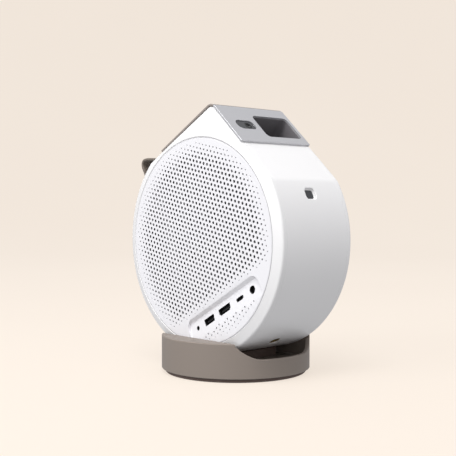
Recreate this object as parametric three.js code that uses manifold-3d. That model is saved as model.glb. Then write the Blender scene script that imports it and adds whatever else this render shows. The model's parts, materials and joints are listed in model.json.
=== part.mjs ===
// A drum-shaped home projector that rolls in a round cradle base.
// Millimetres, +Z up, origin on the table under the middle of the base.
// +X runs along the drum's axis, the lens looks towards -Y, the carry strap is at the back.

import * as THREE from 'three';
import { mergeVertices } from 'three/addons/utils/BufferGeometryUtils.js';
import Module from 'manifold-3d';

const wasm = await Module();
wasm.setup();

// ---------------------------------------------------------------- driving dimensions

// Clearances
const GAP = 0.3;              // between pieces that sit against each other
const RUN_GAP = 0.6;          // between pieces that move past each other

// Drum body, drawn level: the top flat faces up and the lens flat faces forward
const DRUM_RADIUS = 89.5;
const FACE_HALF = 40.5;       // half width at the speaker grilles
const FACE_PROUD = 3.0;       // how far the grilles stand out beyond the side frames' rims
const BARREL_HALF = FACE_HALF - FACE_PROUD;
const FLAT_DEPTH = 3.3;       // how deep the two flats cut into the drum
const FLAT_OFFSET = DRUM_RADIUS - FLAT_DEPTH;
const LENS_FLAT_ANGLE = 72.3; // degrees from the top flat round to the lens flat
const RIDGE_RADIUS = 6.5;     // where the two flats meet
const SHELL_WALL = 2.6;
const SIDE_FRAME_DEPTH = 7.0; // from the barrel's end to the grille's face
const LEAN_AT_REST = 29.5;    // degrees that the drum is rolled back in the cradle

// Plates that cover the two flats
const PLATE_THICKNESS = 1.4;
const PLATE_OVERHANG = 0.3;   // beyond the side frames' rims
const PLATE_HALF_WIDTH = BARREL_HALF + PLATE_OVERHANG;
const PLATE_BELOW_WINDOW = 7.0; // from the window down to the lens plate's lower edge
const TOP_PLATE_END = 7.3;    // top flat's foot back to the plate's rear edge
const PLATE_SEAM_SHARE = 0.75; // share of the ridge that the top plate wraps

// Lens window and camera window in the lens plate, both placed from the ridge and the barrel's end
const RIDGE_UP = FLAT_OFFSET * Math.tan(LENS_FLAT_ANGLE / 2 * Math.PI / 180);
const WINDOW = { width: 39.4, height: 25.8, corner: 4.0, fromRidge: 12.8, fromEnd: 3.1 };
WINDOW.x = BARREL_HALF - WINDOW.fromEnd - WINDOW.width / 2;
WINDOW.up = RIDGE_UP - WINDOW.fromRidge - WINDOW.height / 2;
const CAMERA = { width: 20.2, height: 11.0, corner: 5.0, fromWindow: 4.2, aboveMiddle: 0.3 };
CAMERA.x = WINDOW.x - WINDOW.width / 2 - CAMERA.fromWindow - CAMERA.width / 2;
CAMERA.up = WINDOW.up + CAMERA.aboveMiddle;
const LENS_PLATE_END = WINDOW.up - WINDOW.height / 2 - PLATE_BELOW_WINDOW;
const CAMERA_DEPTH = 10.3;     // the camera module's back below the lens flat
const CAMERA_EYE = { x: 2.5, up: -0.4, radius: 3.4 }; // from the middle of the camera window
const WELL_DEPTH = 30.0;
const WELL_WALL = 1.6;
const PROJECTION_LENS_RADIUS = 11.0;
const LENS_BARREL_WALL = 1.6;
const LENS_BARREL_LENGTH = 26.0;
const FOCUS_TRAVEL = 3.0;
const GEAR_PITCH = 1.5;       // tooth to tooth, on the rack and the pinion alike
const PINION_TEETH = 12;
const RACK_TEETH = 8;
const ENGINE = { width: 42.0, height: 38.0, depth: 34.0 };

// Speaker grilles
const RIM_WIDTH = 8.8;        // the sloping rim round each grille
const GRILLE_RADIUS = DRUM_RADIUS - RIM_WIDTH;
const GRILLE_THICKNESS = 2.4;
const GRILLE_LEDGE = 6.0;     // how far the frame's ledge reaches under the grille

// Port pocket in the left grille
const PORTS_FROM_EDGE = 21.5; // the grille's lowest point up to the row of ports
const PORT_ROW = PORTS_FROM_EDGE - GRILLE_RADIUS;
const POCKET = { top: PORT_ROW + 8.9, bottom: PORT_ROW - 7.8, half: 45.0, depth: 2.6, corner: 8.0 };
const PORT_BACKING = 3.0;
const PORTS = {
  hdmi: { y: 0.0, width: 14.6, height: 5.6, depth: 12.0 },
  usb_a: { y: 19.8, width: 12.6, height: 5.6, depth: 14.0 },
  usb_c: { y: -19.4, width: 9.0, height: 3.2, depth: 9.0 },
  dc_power: { y: -34.7, width: 6.4, height: 6.4, depth: 12.0 },
  audio: { y: 35.2, width: 3.8, height: 3.8, depth: 12.0 },
};

// Control buttons on the top plate
const BUTTON_RADIUS = 4.5;
const BUTTON_PITCH = 15.0;
const BUTTON_ROW = -24.0;
const BUTTON_HEIGHT = 5.6;
const BUTTON_PROUD = 0.5;
const BUTTON_TRAVEL = 0.8;
const BUTTON_NAMES = ['power_button', 'volume_down_button', 'volume_up_button', 'source_button'];

// Carry strap on the back of the top
const STRAP_WIDTH = 40.0;
const STRAP_THICKNESS = 2.2;
const STRAP_BACK = 55.4;      // axis back to the strap's straight rear run

// Small fittings on the barrel
const SENSOR = { angle: 95.3, width: 9.6, height: 7.5, corner: 2.2, recess: 0.9 };
const TRIPOD_BUSH_RADIUS = 4.6;
const TRIPOD_THREAD_RADIUS = 3.2;
const TRIPOD_BUSH_LENGTH = 9.0;

// Inside the drum
const BOARD_THICKNESS = 1.6;
const SPEAKER = { z: 8.0, radius: 26.0, depth: 20.0, fromLedge: 4.0, magnetDepth: 8.0, rim: 3.0 };
const FAN = { x: -28.0, size: 56.0, depth: 15.0, wall: 2.0, hub: 12.0, blades: 7, fromWall: 8.1, down: 35.7 };
const SINK = { fins: 7, fin: 1.2, width: 25.0, inset: 2.0, slab: 4.0 };
const MAIN_BOARD = { width: 54.0, height: 52.0 };
const BATTERY = { x: -18.0, length: 48.0, height: 24.0, width: 50.0, fromWall: 5.7, fromFan: 10.0 };
const TRAY = { left: -28.0, right: 32.0, margin: 6.0, back: 10.0, thickness: 2.0 };
const HEAT_PIPE_RADIUS = 2.5;
const KEEPER = { half: 14.0, thickness: 1.5, from: 115, to: 245 };

// Cradle base
const DRUM_LIFT = 16.5;       // the drum's lowest point above the table
const DRUM_AXIS_HEIGHT = DRUM_LIFT + DRUM_RADIUS;
const BASE_RADIUS = 60.0;
const BASE_WALL = 3.6;
const BASE_BOTTOM = 3.0;      // the shell's lower edge above the table
const CHEEK_TOP = 29.8;       // top of the two solid-looking cheeks
const CHEEK_CLEARANCE = 0.8;  // grille face to cheek
const CHEEK_WALL = 2.6;
const DIP_HEIGHT = 17.4;      // top of the low front and rear walls
const DIP_FILLET = 24.0;      // sweep from the low wall up to the cheek
const DIP_SWEEP = 20.3;       // how far out from the cheek each sweep reaches
const BASE_FLOOR_TOP = 11.0;
const BASE_FLOOR = 2.5;
const FOOT_INSET = 3.0;
const BOTTOM_PLATE = 2.0;
const SADDLE = { half: 26.0, reach: 20.0 };
const SCREW_FROM_EDGE = 11.0;
const SCREW_HEAD_RADIUS = 2.6;
const WEIGHT_FROM_EDGE = 16.0;
const WEIGHT_BORE = 20.0;
const BASE_MAGNET_RADIUS = 15.0;

const DEG = Math.PI / 180;

// ---------------------------------------------------------------- materials

const surface = (color, roughness, metalness = 0) =>
  new THREE.MeshStandardMaterial({ color, roughness, metalness });

const WHITE = surface(0xf3f2f1, 0.45);
const GRILLE_WHITE = surface(0xf0eff0, 0.5);
const SILVER = surface(0xc9cacc, 0.35, 0.6);
const TAUPE = surface(0x9b9088, 0.6);
const STRAP_TAUPE = surface(0x83776c, 0.75);
const DARK = surface(0x3a383a, 0.6);
const BLACK = surface(0x141414, 0.4);
const RUBBER = surface(0x54504d, 0.85);
const GLASS = surface(0x1b1d22, 0.08);
const BOARD = surface(0x1f5a3a, 0.6);
const ALUMINIUM = surface(0xb7b9bb, 0.4, 0.9);
const COPPER = surface(0xb87348, 0.35, 0.9);
const STEEL = surface(0x8f9194, 0.4, 0.9);
const BRASS = surface(0xa98b3f, 0.35, 0.9);
const PAPER = surface(0x2b2b2c, 0.85);
const BATTERY_BLUE = surface(0x2d4a6e, 0.5);

// ---------------------------------------------------------------- solids

// A closed geometry as a solid that can be cut and joined.
function solid(geometry) {
  const bare = geometry.clone();
  bare.deleteAttribute('normal');
  bare.deleteAttribute('uv');
  const merged = mergeVertices(bare, 1e-4);
  return new wasm.Manifold(new wasm.Mesh({
    numProp: 3,
    vertProperties: new Float32Array(merged.attributes.position.array),
    triVerts: new Uint32Array(merged.index.array),
  }));
}

// A solid back as a geometry.
function geometryOf(manifold) {
  const mesh = manifold.getMesh();
  const geometry = new THREE.BufferGeometry();
  geometry.setAttribute('position', new THREE.BufferAttribute(mesh.vertProperties.slice(), 3));
  geometry.setIndex(new THREE.BufferAttribute(mesh.triVerts.slice(), 1));
  geometry.computeVertexNormals();
  return geometry;
}

const cut = (body, ...tools) => geometryOf(tools.reduce((rest, tool) => rest.subtract(solid(tool)), solid(body)));
const join = (body, ...others) => geometryOf(others.reduce((sum, other) => sum.add(solid(other)), solid(body)));
const overlap = (body, ...others) => geometryOf(others.reduce((sum, other) => sum.intersect(solid(other)), solid(body)));

// A block between two corners.
function block(x0, x1, y0, y1, z0, z1) {
  const box = new THREE.BoxGeometry(x1 - x0, y1 - y0, z1 - z0);
  return box.translate((x0 + x1) / 2, (y0 + y1) / 2, (z0 + z1) / 2);
}

// A round bar along X, Y or Z between two ends, centred on the two other coordinates.
function bar(axis, from, to, radius, centre = [0, 0], sides = 32) {
  const rod = new THREE.CylinderGeometry(radius, radius, to - from, sides);
  const middle = (from + to) / 2;
  if (axis === 'x') return rod.rotateZ(-Math.PI / 2).translate(middle, centre[0], centre[1]);
  if (axis === 'y') return rod.translate(centre[0], middle, centre[1]);
  return rod.rotateX(Math.PI / 2).translate(centre[0], centre[1], middle);
}

// A straight prism along X of an outline drawn in (y, z).
const prismX = (outline, x0, x1) => loftX([[x0, outline], [x1, outline]]);

// A solid through outlines of the same number of points, each at its own x.
function loftX(sections) {
  const count = sections[0][1].length;
  const positions = sections.flatMap(([x, outline]) => outline.flatMap(([y, z]) => [x, y, z]));
  const capOutline = sections[0][1].map(([y, z]) => new THREE.Vector2(y, z));
  const cap = THREE.ShapeUtils.triangulateShape(capOutline, []);
  const clockwise = THREE.ShapeUtils.isClockWise(capOutline);
  const faces = [];
  const last = (sections.length - 1) * count;
  for (const [a, b, c] of cap) {
    faces.push([c, b, a], [last + a, last + b, last + c]);
  }
  for (let ring = 0; ring < sections.length - 1; ring++) {
    for (let i = 0; i < count; i++) {
      const next = (i + 1) % count;
      const [a, b] = clockwise ? [next, i] : [i, next];
      const low = ring * count;
      const high = low + count;
      faces.push([low + a, low + b, high + b], [low + a, high + b, high + a]);
    }
  }
  const geometry = new THREE.BufferGeometry();
  geometry.setAttribute('position', new THREE.Float32BufferAttribute(positions, 3));
  geometry.setIndex(faces.flat());
  return geometry;
}

// A rounded rectangle standing on its middle.
function roundedRectangle(width, height, corner, x = 0, y = 0) {
  const w = width / 2;
  const h = height / 2;
  const shape = new THREE.Shape();
  shape.moveTo(x - w + corner, y - h);
  shape.lineTo(x + w - corner, y - h);
  shape.absarc(x + w - corner, y - h + corner, corner, -Math.PI / 2, 0);
  shape.absarc(x + w - corner, y + h - corner, corner, 0, Math.PI / 2);
  shape.absarc(x - w + corner, y + h - corner, corner, Math.PI / 2, Math.PI);
  shape.absarc(x - w + corner, y - h + corner, corner, Math.PI, 1.5 * Math.PI);
  return shape;
}

// A flat plate of a shape, between two heights.
function slab(shape, z0, z1, curveSegments = 5) {
  const plate = new THREE.ExtrudeGeometry(shape, { depth: z1 - z0, bevelEnabled: false, curveSegments });
  return plate.translate(0, 0, z0);
}

// A turned solid about Z from a profile of [radius, height] points.
const turned = (profile, segments = 48) =>
  new THREE.LatheGeometry(profile.map(([r, z]) => new THREE.Vector2(r, z)), segments).rotateX(Math.PI / 2);

// ---------------------------------------------------------------- assembly helpers

const projector = new THREE.Group();
const drum = new THREE.Group();
drum.position.z = DRUM_AXIS_HEIGHT;
drum.rotation.x = -LEAN_AT_REST * DEG;
projector.add(drum);

// The lens flat's own frame: x along the drum, y up towards the ridge, z out of the flat.
const lensFlat = new THREE.Group();
lensFlat.rotation.x = LENS_FLAT_ANGLE * DEG;
lensFlat.position.set(
  0,
  -FLAT_OFFSET * Math.sin(LENS_FLAT_ANGLE * DEG),
  FLAT_OFFSET * Math.cos(LENS_FLAT_ANGLE * DEG),
);
lensFlat.updateMatrix();
drum.add(lensFlat);

function place(name, geometry, material, group) {
  const mesh = new THREE.Mesh(geometry, material);
  mesh.name = name;
  group.add(mesh);
}

// A tool drawn in the lens flat's frame, carried into the drum's frame.
const inDrum = (geometry) => geometry.clone().applyMatrix4(lensFlat.matrix);
const pointInDrum = (x, up, out) => new THREE.Vector3(x, up, out).applyMatrix4(lensFlat.matrix);

// ---------------------------------------------------------------- drum outline

// A point in (y, z) at an angle from straight up, turning towards the lens.
const polar = (radius, angle) => [-radius * Math.sin(angle), radius * Math.cos(angle)];

// The drum's side view, inset all round: a circle cut by the two flats, which meet in a rounded ridge.
function drumOutline(inset, arcSteps = 40) {
  const radius = DRUM_RADIUS - inset;
  const offset = FLAT_OFFSET - inset;
  const ridge = Math.max(RIDGE_RADIUS - inset, 1);
  const lensAngle = LENS_FLAT_ANGLE * DEG;
  const crease = Math.acos(offset / radius);
  const points = [];
  const start = lensAngle + crease;
  const end = 2 * Math.PI - crease;
  for (let i = 0; i <= arcSteps; i++) {
    points.push(polar(radius, start + (end - start) * i / arcSteps));
  }
  const [ridgeY, ridgeZ] = polar((offset - ridge) / Math.cos(lensAngle / 2), lensAngle / 2);
  const ridgeSteps = 5;
  for (let i = 0; i <= ridgeSteps; i++) {
    const [y, z] = polar(ridge, lensAngle * i / ridgeSteps);
    points.push([ridgeY + y, ridgeZ + z]);
  }
  return points;
}

const shellHalf = FACE_HALF - SIDE_FRAME_DEPTH - GAP;
const frameInner = FACE_HALF - SIDE_FRAME_DEPTH;
const innerRadius = DRUM_RADIUS - SHELL_WALL;

// The strap's centre line in (y, z). It rises from inside the top flat, bends over tightly and
// falls straight back into the barrel.
const strapEntry = Math.sqrt(DRUM_RADIUS ** 2 - STRAP_BACK ** 2);
const strapRise = [[-46.4, -5.0], [-38.4, 0.2], [-27.4, 6.8], [-17.4, 13.0], [-8.9, 18.2], [-3.8, 19.8],
  [-0.8, 17.4], [-0.2, 10.8]].map(([y, z]) => [STRAP_BACK + y, FLAT_OFFSET + z]);
const strapFall = [[-0.4, 17.7], [-0.4, 7.7], [0, -2.3], [0, -8.3]]
  .map(([y, z]) => [STRAP_BACK + y, strapEntry + z]);
const strapRoute = new THREE.CatmullRomCurve3(
  [...strapRise, ...strapFall].map(([y, z]) => new THREE.Vector3(0, y, z)), false, 'centripetal');

// A flat ribbon along the strap's route.
function ribbon(width, thickness, steps = 26) {
  const left = [];
  const right = [];
  for (let i = 0; i <= steps; i++) {
    const point = strapRoute.getPoint(i / steps);
    const along = strapRoute.getTangent(i / steps);
    const side = [-along.z * thickness / 2, along.y * thickness / 2];
    left.push([point.y + side[0], point.z + side[1]]);
    right.push([point.y - side[0], point.z - side[1]]);
  }
  return prismX([...left, ...right.reverse()], -width / 2, width / 2);
}

const strapSlots = ribbon(STRAP_WIDTH + 2 * GAP, STRAP_THICKNESS + 2 * GAP);

// ---------------------------------------------------------------- barrel shell and side frames

const windowHole = (grow, z0, z1) => slab(
  roundedRectangle(WINDOW.width + 2 * grow, WINDOW.height + 2 * grow, WINDOW.corner + grow, WINDOW.x, WINDOW.up),
  z0, z1);
const cameraHole = (grow, z0, z1) => slab(
  roundedRectangle(CAMERA.width + 2 * grow, CAMERA.height + 2 * grow, CAMERA.corner + grow, CAMERA.x, CAMERA.up),
  z0, z1);

const buttonX = (index) => (index - (BUTTON_NAMES.length - 1) / 2) * BUTTON_PITCH;
const buttonHoles = BUTTON_NAMES.map((_, index) =>
  bar('z', FLAT_OFFSET - 2 * SHELL_WALL, FLAT_OFFSET + 2 * PLATE_THICKNESS, BUTTON_RADIUS + GAP,
    [buttonX(index), BUTTON_ROW], 20));

// The sensor opening on the front of the barrel, cut square to the barrel's surface.
function sensorTool(grow, from, to) {
  const shape = roundedRectangle(SENSOR.width + 2 * grow, SENSOR.height + 2 * grow, SENSOR.corner + grow);
  return slab(shape, from, to).rotateX(SENSOR.angle * DEG);
}

const barrelShell = cut(
  prismX(drumOutline(0), -shellHalf, shellHalf),
  prismX(drumOutline(SHELL_WALL), -shellHalf - 1, shellHalf + 1),
  inDrum(windowHole(WELL_WALL + GAP, -2 * SHELL_WALL, SHELL_WALL)),
  inDrum(cameraHole(GAP, -2 * SHELL_WALL, SHELL_WALL)),
  ...buttonHoles,
  sensorTool(GAP, innerRadius - SHELL_WALL, DRUM_RADIUS + SHELL_WALL),
  bar('z', -DRUM_RADIUS - 1, -innerRadius + 1, TRIPOD_BUSH_RADIUS + GAP, [0, 0], 24),
  strapSlots,
);
place('barrel_shell', barrelShell, WHITE, drum);

// Sections given for the right side, turned round for the left.
const onSide = (side, sections) =>
  sections.map(([x, outline]) => [side * x, outline]).sort((a, b) => a[0] - b[0]);

// A bar along X that runs outwards from the middle on either side.
function sideBar(side, from, to, radius, centre, sides) {
  return side > 0 ? bar('x', from, to, radius, centre, sides) : bar('x', -to, -from, radius, centre, sides);
}

// One side frame: a rim that slopes up to the grille, with a ledge for the grille to sit on.
const grilleLedge = FACE_HALF - GRILLE_THICKNESS - GAP;
const ledgeRadius = GRILLE_RADIUS - GRILLE_LEDGE;
function sideFrame(side) {
  const rimRound = 0.8;
  const body = loftX(onSide(side, [
    [frameInner, drumOutline(0)],
    [BARREL_HALF - rimRound, drumOutline(0)],
    [BARREL_HALF, drumOutline(rimRound)],
    [FACE_HALF, drumOutline(DRUM_RADIUS - GRILLE_RADIUS - GAP)],
  ]));
  return cut(
    body,
    sideBar(side, grilleLedge, FACE_HALF + 1, GRILLE_RADIUS + GAP, [0, 0], 60),
    sideBar(side, frameInner - 1, FACE_HALF + 1, ledgeRadius, [0, 0], 60),
    inDrum(windowHole(WELL_WALL + GAP, -WELL_DEPTH - 2 * WELL_WALL, SHELL_WALL)),
    inDrum(cameraHole(GAP, -CAMERA_DEPTH - GAP, SHELL_WALL)),
  );
}
place('left_side_frame', sideFrame(-1), WHITE, drum);
place('right_side_frame', sideFrame(1), WHITE, drum);

// ---------------------------------------------------------------- grilles and ports

const grilleBack = FACE_HALF - GRILLE_THICKNESS;
const rightGrille = sideBar(1, grilleBack, FACE_HALF, GRILLE_RADIUS, [0, 0], 60);
place('right_grille', rightGrille, GRILLE_WHITE, drum);

// An outline in (y, z) as a prism through the left face.
function leftPrism(shape, from, to, curveSegments = 5) {
  return slab(shape, from, to, curveSegments).rotateY(Math.PI / 2).rotateX(Math.PI / 2);
}

// The pocket's floor slopes from its deep upper edge to meet the grille's face below.
function portPocket() {
  const height = POCKET.top - POCKET.bottom + POCKET.corner;
  const middle = POCKET.top - height / 2;
  const recess = leftPrism(
    roundedRectangle(2 * POCKET.half, height, POCKET.corner, 0, middle), -FACE_HALF - 1, -grilleBack + PORT_BACKING);
  const floor = new THREE.Shape([
    [-FACE_HALF - 2, POCKET.top + 1],
    [-FACE_HALF, POCKET.top],
    [-FACE_HALF + POCKET.depth, POCKET.top - POCKET.depth],
    [-FACE_HALF, POCKET.bottom],
    [-FACE_HALF - 2, POCKET.bottom - 1],
  ].map(([x, z]) => new THREE.Vector2(x, z)));
  const wedge = slab(floor, -POCKET.half - 1, POCKET.half + 1).rotateX(Math.PI / 2);
  return overlap(recess, wedge);
}

const isRound = (port) => port.width === port.height;
function portHole(port, grow, from, to) {
  if (isRound(port)) return bar('x', from, to, port.width / 2 + grow, [port.y, PORT_ROW], 20);
  return leftPrism(roundedRectangle(port.width + 2 * grow, port.height + 2 * grow, 1, port.y, PORT_ROW), from, to, 2);
}

const backingHalf = POCKET.half + 2;
const backing = overlap(
  block(-grilleBack - 1, -grilleBack + PORT_BACKING, -backingHalf, backingHalf, POCKET.bottom - 2, POCKET.top + 2),
  sideBar(-1, 0, grilleBack + 1, ledgeRadius - GAP, [0, 0], 60),
);
const leftGrille = cut(
  join(sideBar(-1, grilleBack, FACE_HALF, GRILLE_RADIUS, [0, 0], 60), backing),
  portPocket(),
  ...Object.values(PORTS).map((port) => portHole(port, 0, -FACE_HALF - 1, 0)),
);
place('left_grille', leftGrille, GRILLE_WHITE, drum);

// Sockets behind the ports, each a metal or plastic can with its own mouth.
const socketFront = -grilleBack + PORT_BACKING + GAP;
const SOCKET_WALL = 0.7;
for (const [name, port] of Object.entries(PORTS)) {
  const end = socketFront + port.depth;
  const half = port.width / 2 + SOCKET_WALL;
  const rise = port.height / 2 + SOCKET_WALL;
  const can = block(socketFront, end, port.y - half, port.y + half, PORT_ROW - rise, PORT_ROW + rise);
  const hollow = cut(can, portHole(port, 0, socketFront - 1, end - SOCKET_WALL));
  const tongue = isRound(port)
    ? bar('x', socketFront + 2, end - SOCKET_WALL / 2, port.width / 7, [port.y, PORT_ROW], 12)
    : block(socketFront + 1, end - SOCKET_WALL / 2, port.y - port.width * 0.36, port.y + port.width * 0.36,
      PORT_ROW - port.height * 0.13, PORT_ROW + port.height * 0.13);
  place(`${name}_socket`, join(hollow, tongue), isRound(port) ? BLACK : STEEL, drum);
}

const deepest = Math.max(...Object.values(PORTS).map((port) => port.depth));
const portBoardX = socketFront + deepest + GAP;
place('port_board',
  block(portBoardX, portBoardX + BOARD_THICKNESS, 3 - POCKET.half, POCKET.half - 3, PORT_ROW - 8, PORT_ROW + 7),
  BOARD, drum);

// ---------------------------------------------------------------- plates on the two flats

const [seamY, seamZ] = polar((FLAT_OFFSET - RIDGE_RADIUS) / Math.cos(LENS_FLAT_ANGLE * DEG / 2), LENS_FLAT_ANGLE * DEG / 2);
const seamAngle = LENS_FLAT_ANGLE * DEG * PLATE_SEAM_SHARE;
const REACH = 40;             // how far the cutting outlines stand clear of the plates

const plateBand = cut(
  prismX(drumOutline(-PLATE_THICKNESS - GAP), -PLATE_HALF_WIDTH, PLATE_HALF_WIDTH),
  prismX(drumOutline(-GAP), -PLATE_HALF_WIDTH - 1, PLATE_HALF_WIDTH + 1),
);

// The (y, z) outline between the ridge seam and a plate's far edge.
function plateZone(flatAngle, foot, shift) {
  const normal = polar(1, flatAngle);
  const seam = polar(1, seamAngle);
  const across = [seam[1] * shift, -seam[0] * shift];
  const base = polar(FLAT_OFFSET, flatAngle);
  const end = [base[0] + foot[0], base[1] + foot[1]];
  return [
    [seamY + across[0], seamZ + across[1]],
    [seamY + across[0] + seam[0] * REACH, seamZ + across[1] + seam[1] * REACH],
    [end[0] + normal[0] * REACH, end[1] + normal[1] * REACH],
    [end[0] - normal[0] * RIDGE_RADIUS, end[1] - normal[1] * RIDGE_RADIUS],
  ];
}
const zonePrism = (zone) => prismX(zone, -PLATE_HALF_WIDTH - 1, PLATE_HALF_WIDTH + 1);
const lensFoot = polar(LENS_PLATE_END, LENS_FLAT_ANGLE * DEG - Math.PI / 2);
const lensZone = plateZone(LENS_FLAT_ANGLE * DEG, lensFoot, -GAP / 2);
const topZone = plateZone(0, [TOP_PLATE_END, 0], GAP / 2);

const lensPlate = cut(
  overlap(plateBand, zonePrism(lensZone)),
  inDrum(windowHole(0, -1, PLATE_THICKNESS + 1)),
  inDrum(cameraHole(0, -1, PLATE_THICKNESS + 1)),
);
place('lens_plate', lensPlate, SILVER, drum);

const topPlate = cut(overlap(plateBand, zonePrism(topZone)), ...buttonHoles);
place('top_plate', topPlate, TAUPE, drum);

// Buttons with their board inside the shell.
const buttonTop = FLAT_OFFSET + PLATE_THICKNESS + GAP + BUTTON_PROUD;
BUTTON_NAMES.forEach((name, index) => {
  const cap = bar('z', buttonTop - BUTTON_HEIGHT, buttonTop, BUTTON_RADIUS, [buttonX(index), BUTTON_ROW], 24);
  place(name, cap, SILVER, drum);
});
const buttonBoardTop = buttonTop - BUTTON_HEIGHT - BUTTON_TRAVEL - GAP;
const buttonBoardHalf = buttonX(BUTTON_NAMES.length - 1) + BUTTON_RADIUS + 4;
place('button_board',
  block(-buttonBoardHalf, buttonBoardHalf, BUTTON_ROW - BUTTON_RADIUS - 2.5, BUTTON_ROW + BUTTON_RADIUS + 2.5,
    buttonBoardTop - BOARD_THICKNESS, buttonBoardTop), BOARD, drum);

// ---------------------------------------------------------------- optics behind the lens plate

const wellTop = 0;
const wellFloor = wellTop - WELL_DEPTH;
const lensCentre = [WINDOW.x, WINDOW.up];
const lensWell = cut(
  windowHole(WELL_WALL, wellFloor - WELL_WALL, wellTop),
  windowHole(0, wellFloor, wellTop + 1),
  bar('z', wellFloor - 2 * WELL_WALL, wellFloor + 1, PROJECTION_LENS_RADIUS + GAP, lensCentre, 40),
);
place('lens_well', lensWell, DARK, lensFlat);

// The front lens is a shallow dome.
const lensRim = 3.0;
const lensDome = 2.4;
const domeSteps = 6;
const domeProfile = [[0, 0], [PROJECTION_LENS_RADIUS, 0], [PROJECTION_LENS_RADIUS, lensRim]];
for (let i = 1; i <= domeSteps; i++) {
  const share = i / domeSteps;
  domeProfile.push([PROJECTION_LENS_RADIUS * (1 - share), lensRim + lensDome * (1 - (1 - share) ** 2)]);
}
const frontLensBase = wellFloor - WELL_WALL - 1.0;
place('projection_lens', turned(domeProfile, 36).translate(WINDOW.x, WINDOW.up, frontLensBase), GLASS, lensFlat);

// A fixed barrel holds the focus cell, whose rack comes out through a slot to the pinion.
const barrelTop = frontLensBase - GAP;
const barrelBottom = barrelTop - LENS_BARREL_LENGTH;
const barrelOuter = PROJECTION_LENS_RADIUS + LENS_BARREL_WALL;
const BORE_LIP = 0.4;         // the barrel's bore is this much smaller than the front lens
const boreRadius = PROJECTION_LENS_RADIUS - BORE_LIP;
const rackHalf = 2.0;
const rackReach = barrelOuter + 2.0;
const cellBottom = barrelBottom + 4.0;
const cellTop = cellBottom + RACK_TEETH * GEAR_PITCH;
const lensBarrel = cut(
  bar('z', barrelBottom, barrelTop, barrelOuter, lensCentre, 40),
  bar('z', barrelBottom - 1, barrelTop + 1, boreRadius, lensCentre, 40),
  block(WINDOW.x - rackHalf - RUN_GAP, WINDOW.x + rackHalf + RUN_GAP, WINDOW.up - rackReach - 2, WINDOW.up,
    barrelBottom + 2, barrelTop - 2),
);
place('lens_barrel', lensBarrel, BLACK, lensFlat);

const cellRadius = boreRadius - RUN_GAP;
const cellWall = 1.5;
const toothHeight = 0.8;
const toothWidth = GEAR_PITCH / 3;
let rack = block(WINDOW.x - rackHalf, WINDOW.x + rackHalf, WINDOW.up - rackReach, WINDOW.up - cellRadius + 1,
  cellBottom, cellTop);
for (let i = 0; i < RACK_TEETH; i++) {
  const z = cellBottom + (i + 0.5) * GEAR_PITCH;
  rack = join(rack, block(WINDOW.x - rackHalf, WINDOW.x + rackHalf, WINDOW.up - rackReach - toothHeight,
    WINDOW.up - rackReach + 0.5, z - toothWidth / 2, z + toothWidth / 2));
}
const focusCell = join(
  cut(
    bar('z', cellBottom, cellTop, cellRadius, lensCentre, 40),
    bar('z', cellBottom - 1, cellTop + 1, cellRadius - cellWall, lensCentre, 40),
  ),
  rack,
);
place('focus_cell', focusCell, BLACK, lensFlat);
const focusLensMiddle = (cellBottom + cellTop) / 2;
place('focus_lens',
  bar('z', focusLensMiddle - 2, focusLensMiddle + 2, cellRadius - cellWall - GAP, lensCentre, 36), GLASS, lensFlat);

// The focus motor turns a small toothed pinion beside the rack.
const pinionTip = PINION_TEETH * GEAR_PITCH / (2 * Math.PI) + toothHeight * 0.65;
const pinionUp = WINDOW.up - rackReach - GAP - pinionTip;
const pinionZ = focusLensMiddle + FOCUS_TRAVEL / 2;
let pinion = bar('x', WINDOW.x - rackHalf, WINDOW.x + rackHalf, pinionTip - toothHeight, [pinionUp, pinionZ], 12);
for (let i = 0; i < PINION_TEETH; i++) {
  const tooth = block(WINDOW.x - rackHalf, WINDOW.x + rackHalf, 1, pinionTip, -toothWidth / 2, toothWidth / 2);
  const turn = 2 * Math.PI * i / PINION_TEETH;
  pinion = join(pinion, tooth.rotateX(turn).translate(0, pinionUp, pinionZ));
}
const motorStart = WINDOW.x + rackHalf + 2.0;
const shaftRadius = 0.75;
pinion = join(pinion, bar('x', WINDOW.x - rackHalf, motorStart + 3, shaftRadius, [pinionUp, pinionZ], 12));
place('focus_pinion', pinion, BRASS, lensFlat);
const focusMotor = cut(
  bar('x', motorStart, motorStart + 12, 4.0, [pinionUp, pinionZ], 24),
  bar('x', motorStart - 1, motorStart + 4, shaftRadius + GAP, [pinionUp, pinionZ], 12),
);
place('focus_motor', focusMotor, STEEL, lensFlat);

// Light engine with its lamp and image chip behind the barrel.
const engineTop = barrelBottom - GAP;
const engineBottom = engineTop - ENGINE.depth;
const engineMiddle = WINDOW.x - 3; // the lamp's side of the engine is the longer one
const engineX = [engineMiddle - ENGINE.width / 2, engineMiddle + ENGINE.width / 2];
const engineUp = [WINDOW.up - ENGINE.height / 2, WINDOW.up + ENGINE.height / 2];
const lightEngine = cut(
  block(engineX[0], engineX[1], engineUp[0], engineUp[1], engineBottom, engineTop),
  bar('z', engineTop - 24, engineTop + 1, PROJECTION_LENS_RADIUS - 2, lensCentre, 32),
);
place('light_engine', lightEngine, ALUMINIUM, lensFlat);
place('image_chip_board',
  block(engineX[0] + 3, engineX[1] - 3, engineUp[0] + 3, engineUp[1] - 3,
    engineBottom - GAP - BOARD_THICKNESS, engineBottom - GAP), BOARD, lensFlat);
const ledX = [engineX[0] - GAP - 5, engineX[0] - GAP];
const ledUp = [engineUp[0] + 6, engineUp[1] - 6];
const ledOut = [engineBottom + 4, engineTop - 6];
place('led_module', block(...ledX, ...ledUp, ...ledOut), COPPER, lensFlat);

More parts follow.
